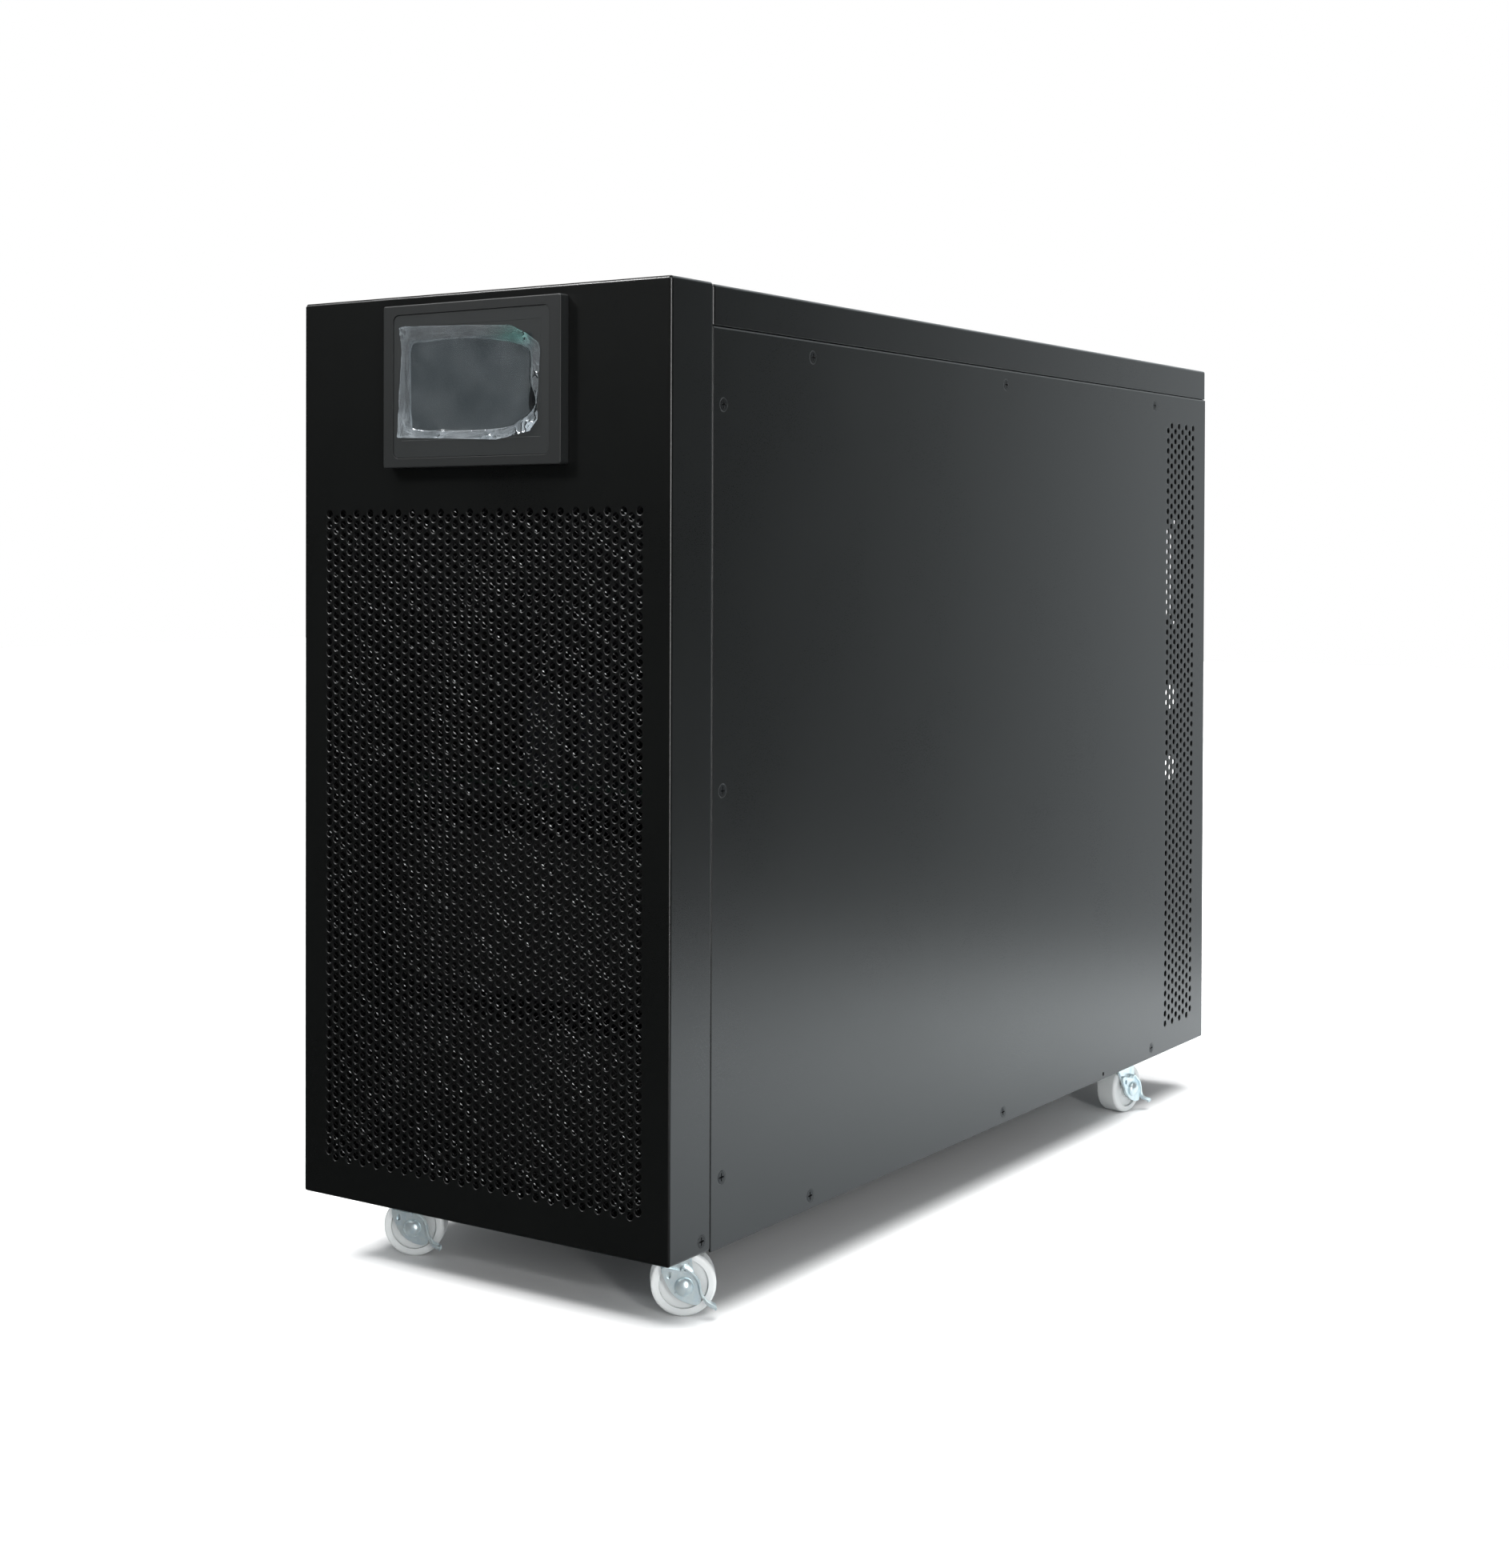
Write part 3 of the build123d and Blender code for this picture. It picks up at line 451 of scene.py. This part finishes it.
def filter_mesh():
    """Two crossed layers of slanting strands, and the painted glints: pale lozenges where one strand bulges over
    another.
    """
    low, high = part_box("dust_filter")
    rect_low, rect_high = (low.x, low.z), (high.x, high.z)
    centre = ((low.x + high.x) / 2, (low.z + high.z) / 2)
    unit = math.hypot(*CROSSING)
    pitch = 2 * CROSSING[0] * CROSSING[1] / unit
    count = int(math.hypot(high.x - low.x, high.z - low.z) / 2 / pitch) + 1
    points, faces = [], []
    for layer, slope in enumerate((-1, 1)):
        along = (CROSSING[0] / unit, slope * CROSSING[1] / unit)
        across = (-along[1], along[0])
        y = low.y + STRAND_R + layer * LAYER_STEP
        for step in range(-count, count + 1):
            at = (centre[0] + across[0] * step * pitch, centre[1] + across[1] * step * pitch)
            stretch = clip_line(at, along, rect_low, rect_high)
            if stretch:
                ends = [(at[0] + along[0] * t, at[1] + along[1] * t) for t in stretch]
                add_strand(points, faces, ends, y, across)
    obj = piece("filter_weave", mesh_from("filter_weave", points, faces), "filter_mesh")
    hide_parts("dust_filter")
    filter_painted_glints(low, high, centre)


def filter_painted_glints(low, high, centre):
    """Small pale lozenges on the crossings, painted glints, in runs along every few strands."""
    rng = random.Random(3)
    points, faces = [], []
    unit = math.hypot(*CROSSING)
    along = (CROSSING[0] / unit, -CROSSING[1] / unit)
    across = (-along[1], along[0])
    y = low.y - 0.02 * MM
    reach = int((high.z - low.z) / CROSSING[1])
    for i in range(-reach, reach + 1):
        for j in range(-reach, reach + 1):
            x = centre[0] + (i + j) * CROSSING[0]
            z = centre[1] + (j - i) * CROSSING[1]
            chance = GLINT_CHANCE[0] if j % GLINT_EVERY == 0 else GLINT_CHANCE[1]
            if rng.random() > chance:
                continue
            in_width = low.x + GLINT_MARGIN < x < high.x - GLINT_MARGIN
            in_height = low.z + GLINT_MARGIN < z < high.z - GLINT_MARGIN
            if not (in_width and in_height):
                continue
            length = GLINT_SIZE[0] * rng.uniform(0.5, 1.0)
            width = GLINT_SIZE[1] * rng.uniform(0.6, 1.0)
            first = len(points)
            for a, b, deep in ((1, 0, 0), (0, 1, 0), (-1, 0, 0), (0, -1, 0), (0, 0, -1), (0, 0, 1)):
                points.append((
                    x + along[0] * a * length + across[0] * b * width,
                    y + deep * GLINT_SIZE[1],
                    z + along[1] * a * length + across[1] * b * width,
                ))
            for k in range(4):
                n = (k + 1) % 4
                faces.append((first + k, first + n, first + 4))
                faces.append((first + n, first + k, first + 5))
    mesh = mesh_from("filter_painted_glints", points, faces)
    piece("filter_painted_glints", mesh, "filter_mesh", material=filter_painted_glint())


# ---------------------------------------------------------------- protective film on the display

LABEL_THICK = 0.09 * MM
LABEL_INSET = 0.6 * MM
LABEL_RADIUS = 4.0 * MM
LABEL_CORNER_STEPS = 8
WINDOW_HALF = (47.0 * MM, 27.5 * MM)
WINDOW_DROP = 1.4 * MM  # below the middle of the display's glass

# The film's outline and the edge of its stuck-down area, clockwise from the top left, as (x, z) in mm
# from the middle of the window
FILM_OUTLINE = [
    (-54.7, 35.0), (-50.0, 36.1), (-4.5, 34.4), (31.2, 32.6), (42.4, 27.6), (51.8, 21.8), (53.3, 17.8),
    (52.6, 8.5), (51.6, -13.7), (51.8, -22.9), (46.2, -29.5), (20.8, -33.7), (-13.9, -32.2), (-56.1, -30.6),
    (-54.7, -10.2), (-52.6, 24.0),
]
FILM_STUCK = [
    (-44.8, 23.6), (-32.7, 25.7), (-4.5, 26.8), (23.6, 23.9), (40.0, 20.0), (45.0, 14.0), (45.4, -1.0),
    (49.5, -13.5), (37.7, -22.5), (19.9, -27.2), (-37.4, -26.4), (-44.4, -20.0), (-45.6, 2.0),
]
# Where the loose border is crumpled most: x, z, reach and height in mm
FILM_CRUMPLES = [
    (44.0, -27.0, 7.0, 1.1), (37.0, -31.5, 5.0, 0.9), (51.0, -13.0, 5.0, 0.8), (51.5, 4.0, 5.0, 0.7),
    (-45.0, -29.5, 3.0, 0.4), (-51.0, -22.0, 5.0, 0.25), (42.0, 26.0, 6.0, 0.6), (-53.0, 33.0, 4.0, 0.6),
    (16.0, -31.0, 6.0, 0.5), (-20.0, -30.0, 5.0, 0.4),
]
# The middle and the half sizes of the teal mark, in mm
FILM_TEAL = (34.0, 27.0, 15.0, 7.0)
FILM_MARKS = "film"
FILM_GAP = 0.12  # mm in front of the glass
FILM_SAMPLES = 560
FILM_STUCK_RINGS = 6
FILM_LOOSE_RINGS = 22


def closed_path(corners, smooth):
    """A function from 0..1 to a point on the closed path, by straight runs or a Catmull-Rom curve."""
    points = [Vector(c) for c in corners]
    lengths = [(points[(i + 1) % len(points)] - p).length for i, p in enumerate(points)]
    total = sum(lengths)

    def at(s):
        travel = (s % 1.0) * total
        for i, length in enumerate(lengths):
            if travel <= length or i == len(lengths) - 1:
                break
            travel -= length
        t = travel / lengths[i]
        p0, p1, p2, p3 = (points[(i + k) % len(points)] for k in (-1, 0, 1, 2))
        if not smooth:
            return p1.lerp(p2, t)
        a = 2 * p1 + (p2 - p0) * t
        b = (2 * p0 - 5 * p1 + 4 * p2 - p3) * t * t
        return 0.5 * (a + b + (3 * p1 - p0 - 3 * p2 + p3) * t ** 3)

    return at


def by_angle(path, count):
    """How far the path is from the middle, in each of count evenly turned directions."""
    fine = 4000
    found = sorted((math.atan2(p.y, p.x) % math.tau, p.length) for p in (path(i / fine) for i in range(fine)))
    rays = []
    k = 0
    for i in range(count):
        turn = math.tau * i / count
        while k < len(found) - 1 and found[k][0] < turn:
            k += 1
        rays.append(found[k][1])
    return rays


def clamp(value):
    return max(0.0, min(1.0, value))


def creases(x, z, size, seed):
    """Ridged noise: sharp creases about size mm apart, from 0 up to 1 on a crease."""
    value = noise.noise(Vector((x / size, z / size, seed)))
    return max(0.0, 1.0 - 3.0 * abs(value))


def hump(value, middle, reach):
    """A bell curve: 1 in the middle, and fading out over the reach."""
    return math.exp(-((value - middle) / reach) ** 2)


def film_lift(x, z, across, radial, turn_mm):
    """Height in mm of the film's loose border, and how hazy it looks there, with painted highlights on its edge
    lines, streaks and crumples.

    across runs from 0 at the stuck-down edge to 1 at the film's outline, radial is that way in mm, and
    turn_mm is the way round the edge in mm.
    """
    contour = hump(across, 0.13, 0.09)
    long_fold = creases(x * 0.6 - z * 0.4, z, 9.0, 3.1)
    fine_fold = creases(x, z, 4.0, 7.7)
    crumple = 0.0
    for at_x, at_z, reach, height in FILM_CRUMPLES:
        crumple += height * hump(math.hypot(x - at_x, z - at_z), 0.0, reach)
    wave = 0.5 + 0.5 * noise.noise(Vector((x / 14, z / 14, 0.5)))
    lift = 0.26 * contour + across * (0.25 + 0.7 * wave + 0.55 * long_fold)
    lift += crumple * across ** 0.5 * (0.4 + 1.1 * fine_fold)
    # Painted highlights: the bright outer rim, the contour line, the streaks and the folds and crumples; place
    # makes the border hazier towards the bottom and the left
    rim = hump(across, 1.0, 0.05)
    line = hump(across, 0.06, 0.035)
    streak = creases(radial, turn_mm * 0.12, 1.6, 4.4)
    place = 0.08 + 0.50 * clamp((-8.0 - z) / 20.0) + 0.06 * clamp((-x - 40.0) / 8.0)
    haze_and_painted_highlight = place * (0.3 + 1.1 * wave) + 0.35 * line + 0.60 * rim + 0.75 * streak * (0.3 + place)
    haze_and_painted_highlight += 0.5 * long_fold * across * (0.2 + place) + 2.2 * crumple * fine_fold
    return FILM_GAP + lift, haze_and_painted_highlight


def overlay_label():
    """The one-piece printed sheet over the front of the display, with its see-through window."""
    low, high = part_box("display_overlay")
    face_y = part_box("display_glass")[0].y
    centre_x, centre_z = (low.x + high.x) / 2, (low.z + high.z) / 2
    half_x, half_z = (high.x - low.x) / 2 - LABEL_INSET, (high.z - low.z) / 2 - LABEL_INSET
    outline = []
    for sign_x, sign_z, start in ((1, 1, 0), (-1, 1, 90), (-1, -1, 180), (1, -1, 270)):
        for step in range(LABEL_CORNER_STEPS + 1):
            turn = math.radians(start + step * 90.0 / LABEL_CORNER_STEPS)
            outline.append((
                centre_x + sign_x * (half_x - LABEL_RADIUS) + LABEL_RADIUS * math.cos(turn),
                centre_z + sign_z * (half_z - LABEL_RADIUS) + LABEL_RADIUS * math.sin(turn),
            ))
    count = len(outline)
    points = [(x, y, z) for y in (face_y - LABEL_THICK, face_y) for x, z in outline]
    faces = [tuple(range(count)), tuple(range(2 * count - 1, count - 1, -1))]
    faces += [(i, count + i, count + (i + 1) % count, (i + 1) % count) for i in range(count)]
    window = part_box("display_glass")
    window_at = ((window[0].x + window[1].x) / 2, (window[0].z + window[1].z) / 2 - WINDOW_DROP)
    mesh = mesh_from("overlay_label", points, faces)
    piece("overlay_label", mesh, "display_overlay", material=printed_overlay(window_at), smooth=False)


def protective_film():
    """The crumpled film over the display, stuck down in the middle and loose round its border."""
    low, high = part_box("display_glass")
    centre = Vector(((low.x + high.x) / 2, 0.0, (low.z + high.z) / 2 - WINDOW_DROP))
    outer = by_angle(closed_path(FILM_OUTLINE, False), FILM_SAMPLES)
    inner = by_angle(closed_path(FILM_STUCK, True), FILM_SAMPLES)
    points, looks = [(centre.x, low.y - FILM_GAP * MM, centre.z)], [(0.0, 0.0)]
    teal_x, teal_z, teal_wide, teal_high = FILM_TEAL
    for ring in range(1, FILM_STUCK_RINGS + FILM_LOOSE_RINGS + 1):
        for i in range(FILM_SAMPLES):
            turn = math.tau * i / FILM_SAMPLES
            across = max(0.0, (ring - FILM_STUCK_RINGS) / FILM_LOOSE_RINGS)
            radius = inner[i] * min(1.0, ring / FILM_STUCK_RINGS) + (outer[i] - inner[i]) * across
            x, z = radius * math.cos(turn), radius * math.sin(turn)
            lift, haze_and_painted_highlight, teal = FILM_GAP, 0.0, 0.0
            if across:
                lift, haze_and_painted_highlight = film_lift(x, z, across, across * (outer[i] - inner[i]), turn * inner[i])
                teal = hump(x, teal_x, teal_wide) * hump(z, teal_z, teal_high)
            points.append((centre.x + x * MM, low.y - lift * MM, centre.z + z * MM))
            looks.append((haze_and_painted_highlight, teal))
    faces = [(0, 1 + (i + 1) % FILM_SAMPLES, 1 + i) for i in range(FILM_SAMPLES)]
    for ring in range(FILM_STUCK_RINGS + FILM_LOOSE_RINGS - 1):
        a = 1 + ring * FILM_SAMPLES
        b = a + FILM_SAMPLES
        for i in range(FILM_SAMPLES):
            n = (i + 1) % FILM_SAMPLES
            faces.append((a + i, a + n, b + n, b + i))
    mesh = mesh_from("display_film", points, faces)
    colours = mesh.color_attributes.new(FILM_MARKS, "FLOAT_COLOR", "POINT")
    for item, (haze_and_painted_highlight, teal) in zip(colours.data, looks):
        item.color = (haze_and_painted_highlight, teal, 0.0, 1.0)
    obj = piece("display_film", mesh, "display_glass", material=clear_film())


# ---------------------------------------------------------------- castor brakes

# The stamped lever seen from its own side, clockwise, as (along the wheel, up) in mm from the axle
LEVER_PLATE = [
    (-13.2, 8.6), (-11.4, 11.2), (-6.0, 10.2), (0.0, 9.2), (5.4, 7.4), (9.0, 2.2), (10.0, -4.6),
    (9.2, -9.8), (5.2, -10.6), (-2.4, -7.8), (-8.2, -2.2),
]
LEVER_STEPS = 72
LEVER_THICK = 1.5 * MM
# Middle and half sizes of the holes in the plate, in mm
LEVER_SLOT = ((-8.9, 6.6), (1.3, 1.9))
LEVER_BORE = ((0.0, 0.0), (2.7, 2.7))
HOLE_STEPS = 20

# The turned-out edge from the plate's top to the pedal's tip, and a far point that closes its path
FLANGE = [(-1.5, 9.0), (4.6, 7.9), (8.6, 3.0), (10.2, -4.0), (13.0, -8.6), (17.2, -12.2)]
FLANGE_RETURN = (0.0, -20.0)
FLANGE_END_MISS = 0.2
FLANGE_STEPS = 40
FLANGE_THICK = 1.2 * MM
FLANGE_DEEP = 2.0 * MM
# The pedal starts at this share of the edge's length and is this much thicker; its tip is rounded last
PEDAL_FROM = 0.72
PEDAL_THICKER = 1.3
TIP_FROM = 0.94
TIP_LEAST = 0.3

DOME_RADIUS = 5.6 * MM
DOME_HEIGHT = 3.3 * MM
DOME_GAP = 0.3 * MM
DOME_RINGS = 8
DOME_SIDES = 32


def ellipse(middle, half):
    turns = [math.tau * k / HOLE_STEPS for k in range(HOLE_STEPS)]
    return [(middle[0] + half[0] * math.cos(t), middle[1] + half[1] * math.sin(t)) for t in turns]


def lever_plate(near, far):
    """Points (along, up, out) and faces of the flat plate with its slot and bore, between two depths."""
    edge = closed_path(LEVER_PLATE, True)
    outline = [tuple(edge(k / LEVER_STEPS)) for k in range(LEVER_STEPS)]
    outline.reverse()
    holes = [ellipse(*LEVER_SLOT), ellipse(*LEVER_BORE)]
    loops = [[Vector((u, v, 0.0)) for u, v in loop] for loop in (outline, *holes)]
    flat = [point for loop in loops for point in loop]
    count = len(flat)
    points = [(p.x * MM, p.y * MM, w) for w in (near, far) for p in flat]
    faces = []
    for a, b, c in geometry.tessellate_polygon(loops):
        if (flat[b] - flat[a]).cross(flat[c] - flat[a]).z < 0:
            b, c = c, b
        faces += [(a, c, b), (count + a, count + b, count + c)]
    first = 0
    for loop in loops:
        for k in range(len(loop)):
            a, b = first + k, first + (k + 1) % len(loop)
            if first:  # the wall of a hole faces inwards
                a, b = b, a
            faces.append((a, b, count + b, count + a))
        first += len(loop)
    return points, faces


def lever_flange(near, far, pedal_far):
    """Points and faces of the turned-out edge along the lever's upper side, which widens into the pedal."""
    path = closed_path([*FLANGE, FLANGE_RETURN], True)
    stop = 0.0
    while (path(stop) - Vector(FLANGE[-1])).length > FLANGE_END_MISS:
        stop += 0.001
    points, faces = [], []
    for k in range(FLANGE_STEPS + 1):
        along = k / FLANGE_STEPS
        here, ahead = path(along * stop), path(along * stop + 0.002)
        run = (ahead - here).normalized()
        widen = clamp((along - PEDAL_FROM) / (1.0 - PEDAL_FROM))
        side = Vector((run.y, -run.x)) * FLANGE_THICK / 2 * (1.0 + PEDAL_THICKER * widen)
        tip = math.sqrt(max(0.0, 1.0 - clamp((along - TIP_FROM) / (1.0 - TIP_FROM)) ** 2))
        low = near + (far - near) * 0.5 * widen
        high = far + (pedal_far - far) * math.sin(widen * math.pi / 2)
        middle, half = (low + high) / 2, (high - low) / 2 * max(tip, TIP_LEAST)
        for sign, w in ((1, middle - half), (1, middle + half), (-1, middle + half), (-1, middle - half)):
            points.append((here.x * MM + sign * side.x, here.y * MM + sign * side.y, w))
    for k in range(FLANGE_STEPS):
        for c in range(4):
            a, b = 4 * k + c, 4 * k + (c + 1) % 4
            faces.append((a, a + 4, b + 4, b))
    faces += [(0, 1, 2, 3), tuple(4 * FLANGE_STEPS + c for c in (3, 2, 1, 0))]
    return points, faces


def hub_dome(base):
    """Points and faces of a domed cap over the axle's head."""
    points, faces = [], []
    for ring in range(DOME_RINGS):
        lean = math.pi / 2 * ring / DOME_RINGS
        radius, out = DOME_RADIUS * math.cos(lean), base + DOME_HEIGHT * math.sin(lean)
        for k in range(DOME_SIDES):
            turn = math.tau * k / DOME_SIDES
            points.append((radius * math.cos(turn), radius * math.sin(turn), out))
    points.append((0.0, 0.0, base + DOME_HEIGHT))
    top = len(points) - 1
    for ring in range(DOME_RINGS):
        for k in range(DOME_SIDES):
            a, b = ring * DOME_SIDES + k, ring * DOME_SIDES + (k + 1) % DOME_SIDES
            last = ring == DOME_RINGS - 1
            faces.append((a, b, top) if last else (a, b, b + DOME_SIDES, a + DOME_SIDES))
    faces.append(tuple(range(DOME_SIDES - 1, -1, -1)))
    return points, faces


def lever_axes(corner):
    """The lever's axle, its directions forward and outward, and how far out its two faces are."""
    joint = JOINTS[f"{corner}_brake_lever"]
    at, axis = Vector(joint["pos_m"]), Vector(joint["axis"])
    reach = [vertex.co - at for vertex in NODES[f"castor_{corner}_brake"].data.vertices]
    middle = sum(reach, Vector()) / len(reach)
    outward = axis if axis.dot(middle) > 0 else -axis
    forward = outward.cross(UP)
    if forward.dot(middle) < 0:
        forward = -forward
    depths = [r.dot(outward) for r in reach]
    return (at, forward, outward), min(depths), max(depths)


def place(shape, axes, name, body, node, smooth=False):
    """A piece from points along a lever's axes, in the material slot of a node."""
    points, faces = shape
    at, forward, outward = axes
    placed = [at + forward * along + UP * up + outward * out for along, up, out in points]
    if forward.cross(UP).dot(outward) < 0:
        faces = [tuple(reversed(face)) for face in faces]
    return piece(name, mesh_from(name, placed, faces), SLOT_OF[node], body, smooth=smooth)


def castor_brakes():
    """On each castor a stamped lever with a slot, a turned-out edge and a pedal, and the dome on its axle."""
    for corner in CORNERS:
        node = f"castor_{corner}_brake"
        axes, near, pedal_far = lever_axes(corner)
        far = near + LEVER_THICK
        plate = place(lever_plate(near, far), axes, f"{corner}_lever_plate", f"{corner}_brake", node)
        flange = lever_flange(near, far + FLANGE_DEEP, pedal_far)
        place(flange, axes, f"{corner}_lever_edge", f"{corner}_brake", node)
        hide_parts(node)
        dome = hub_dome(far + DOME_GAP)
        place(dome, axes, f"{corner}_hub_dome", f"{corner}_fork", f"castor_{corner}_axle", smooth=True)


# ---------------------------------------------------------------- stage, light and camera

LENS = 52.88
SENSOR = 36.0
CAMERA_SHIFT = (0.0397, -0.1261)
CAMERA_AT = Vector((0.8763, -1.4441, 0.4422))
CAMERA_YAW = 0.6004
CAMERA_PITCH = -0.0124
CAMERA_ROLL = 0.0031


def add_camera():
    data = bpy.data.cameras.new("camera")
    data.lens = LENS
    data.sensor_width = SENSOR
    data.shift_x, data.shift_y = CAMERA_SHIFT
    data.clip_end = 100.0
    cam = bpy.data.objects.new("camera", data)
    bpy.context.collection.objects.link(cam)
    turn = Matrix.Rotation(CAMERA_YAW, 4, "Z") @ Matrix.Rotation(math.pi / 2 + CAMERA_PITCH, 4, "X")
    cam.matrix_world = Matrix.Translation(CAMERA_AT) @ turn @ Matrix.Rotation(CAMERA_ROLL, 4, "Z")
    bpy.context.scene.camera = cam


FLOOR_REACH = 8.0
FLOOR_SHADE = (0.86, 0.86, 0.86)
# The pool of floor that reflections see: its middle, the distances over which its edge fades, and along Y
# where its front fades in and where its painted shade changes from the darker first to the paler second
POOL_MIDDLE = (0.0, 0.12)
POOL_EDGE = (0.60, 1.06)
POOL_FRONT = (-0.40, -0.24)
POOL_DEPTH = (-0.1, 0.9)
POOL_SHADES = ((0.52, 0.56, 0.58), (0.93, 0.98, 1.0))
POOL_LIFT = 0.3 * MM


def stage_plane(name, reach, z, material):
    corners = [(-reach, -reach, z), (reach, -reach, z), (reach, reach, z), (-reach, reach, z)]
    mesh = mesh_from(name, corners, [(0, 1, 2, 3)])
    mesh.materials.append(material)
    obj = bpy.data.objects.new(name, mesh)
    bpy.context.collection.objects.link(obj)
    return obj


def add_floor():
    """A pale floor. Reflections see only a soft-edged pool of it, beside and behind the cabinet."""
    floor_z = cad_bounds[0].z
    t = Look("floor")
    t.surface(Base_Color=FLOOR_SHADE, Roughness=0.9)
    floor = stage_plane("floor", FLOOR_REACH, floor_z, t.material)
    floor.visible_glossy = False

    t = Look("pool")
    split = t.node("ShaderNodeSeparateXYZ", {0: t.coords})
    flat = t.node("ShaderNodeCombineXYZ", {0: split.outputs["X"], 1: split.outputs["Y"]}).outputs[0]
    ends = {0: flat, 1: (*POOL_MIDDLE, 0.0)}
    away = t.node("ShaderNodeVectorMath", ends, operation="DISTANCE").outputs["Value"]
    near = t.ramp(away, *POOL_EDGE, 1.0, 0.0)
    behind = t.ramp(split.outputs["Y"], *POOL_FRONT, 0.0, 1.0)
    clear = t.node("ShaderNodeBsdfTransparent").outputs[0]
    # Painted shade: the pool is darker towards the front, paler behind
    shade = t.mix(t.ramp(split.outputs["Y"], *POOL_DEPTH, 0.0, 1.0), *POOL_SHADES)
    pale = t.node("ShaderNodeBsdfDiffuse", {"Color": shade}).outputs[0]
    amount = t.math("MULTIPLY", near, behind)
    look = t.node("ShaderNodeMixShader", {0: amount, 1: clear, 2: pale}).outputs[0]
    t.tree.links.new(look, t.out.inputs["Surface"])
    pool = stage_plane("pool", FLOOR_REACH, floor_z + POOL_LIFT, t.material)
    pool.visible_camera = False
    pool.visible_diffuse = False
    pool.visible_transmission = False
    pool.visible_shadow = False


# In reflections the backdrop behind the cabinet fades out between these angles to either side
BACKDROP_EDGE = (math.radians(28.5), math.radians(16))
BACKDROP_LIGHT = 1.45
ROOM_LIGHT = 0.015
FILL_LIGHT = 0.5


def add_world():
    """White to the camera, even light to matt surfaces, a bright backdrop in a dim room to reflections."""
    world = bpy.data.worlds.new("studio")
    bpy.context.scene.world = world
    t = Tree(world)
    position = t.node("ShaderNodeNewGeometry").outputs["Position"]
    direction = t.node("ShaderNodeVectorMath", {0: position}, operation="NORMALIZE").outputs[0]
    split = t.node("ShaderNodeSeparateXYZ", {0: direction})
    angle = t.math("ARCTAN2", t.math("ABSOLUTE", split.outputs["X"]), split.outputs["Y"])
    sockets = {"Value": angle, "From Min": BACKDROP_EDGE[0], "From Max": BACKDROP_EDGE[1]}
    backdrop = t.node("ShaderNodeMapRange", sockets, interpolation_type="SMOOTHSTEP").outputs[0]
    radiance = t.math("ADD", t.math("MULTIPLY", backdrop, BACKDROP_LIGHT), ROOM_LIGHT)

    def background(colour, strength):
        return t.node("ShaderNodeBackground", {"Color": colour, "Strength": strength}).outputs[0]

    studio = background((0.90, 0.97, 1.0), radiance)
    fill = background((0.95, 0.98, 1.0), FILL_LIGHT)
    white = background((1.0, 1.0, 1.0), 1.0)
    path = t.node("ShaderNodeLightPath").outputs
    lit = t.node("ShaderNodeMixShader", {0: path["Is Diffuse Ray"], 1: studio, 2: fill}).outputs[0]
    seen = t.node("ShaderNodeMixShader", {0: path["Is Camera Ray"], 1: lit, 2: white}).outputs[0]
    t.node("ShaderNodeOutputWorld", {"Surface": seen})


SUN_POWER = 6.2
SUN_WIDTH = math.radians(60)
SUN_TILT = math.radians(8)
# Name, place, aim, size and power
AREA_LIGHTS = (
    ("key", (-1.2, -1.7, 2.0), (0.0, -0.35, 0.35), (0.45, 0.45), 38.0),
    ("strip", (2.35, -1.85, 0.55), (0.1, -0.3, 0.4), (0.30, 1.9), 48.0),
)


def area_light(name, at, aim, size, power):
    data = bpy.data.lights.new(name, "AREA")
    data.shape = "RECTANGLE"
    data.size, data.size_y = size
    data.energy = power
    light = bpy.data.objects.new(name, data)
    light.location = at
    light.rotation_euler = (Vector(aim) - Vector(at)).to_track_quat("-Z", "Y").to_euler()
    bpy.context.collection.objects.link(light)


def add_lights():
    """A wide light overhead, one high at the front left, and a tall strip that draws the upright folds."""
    data = bpy.data.lights.new("overhead", "SUN")
    data.energy = SUN_POWER
    data.angle = SUN_WIDTH
    overhead = bpy.data.objects.new("overhead", data)
    overhead.rotation_euler = (SUN_TILT, 0.0, 0.0)
    bpy.context.collection.objects.link(overhead)
    for light in AREA_LIGHTS:
        area_light(*light)


def main():
    scene = bpy.context.scene
    scene.view_settings.view_transform = "Standard"
    add_camera()
    add_floor()
    add_world()
    add_lights()
    dress_cad()
    grille_rims()
    panel_lips()
    filter_mesh()
    overlay_label()
    protective_film()
    castor_brakes()


main()
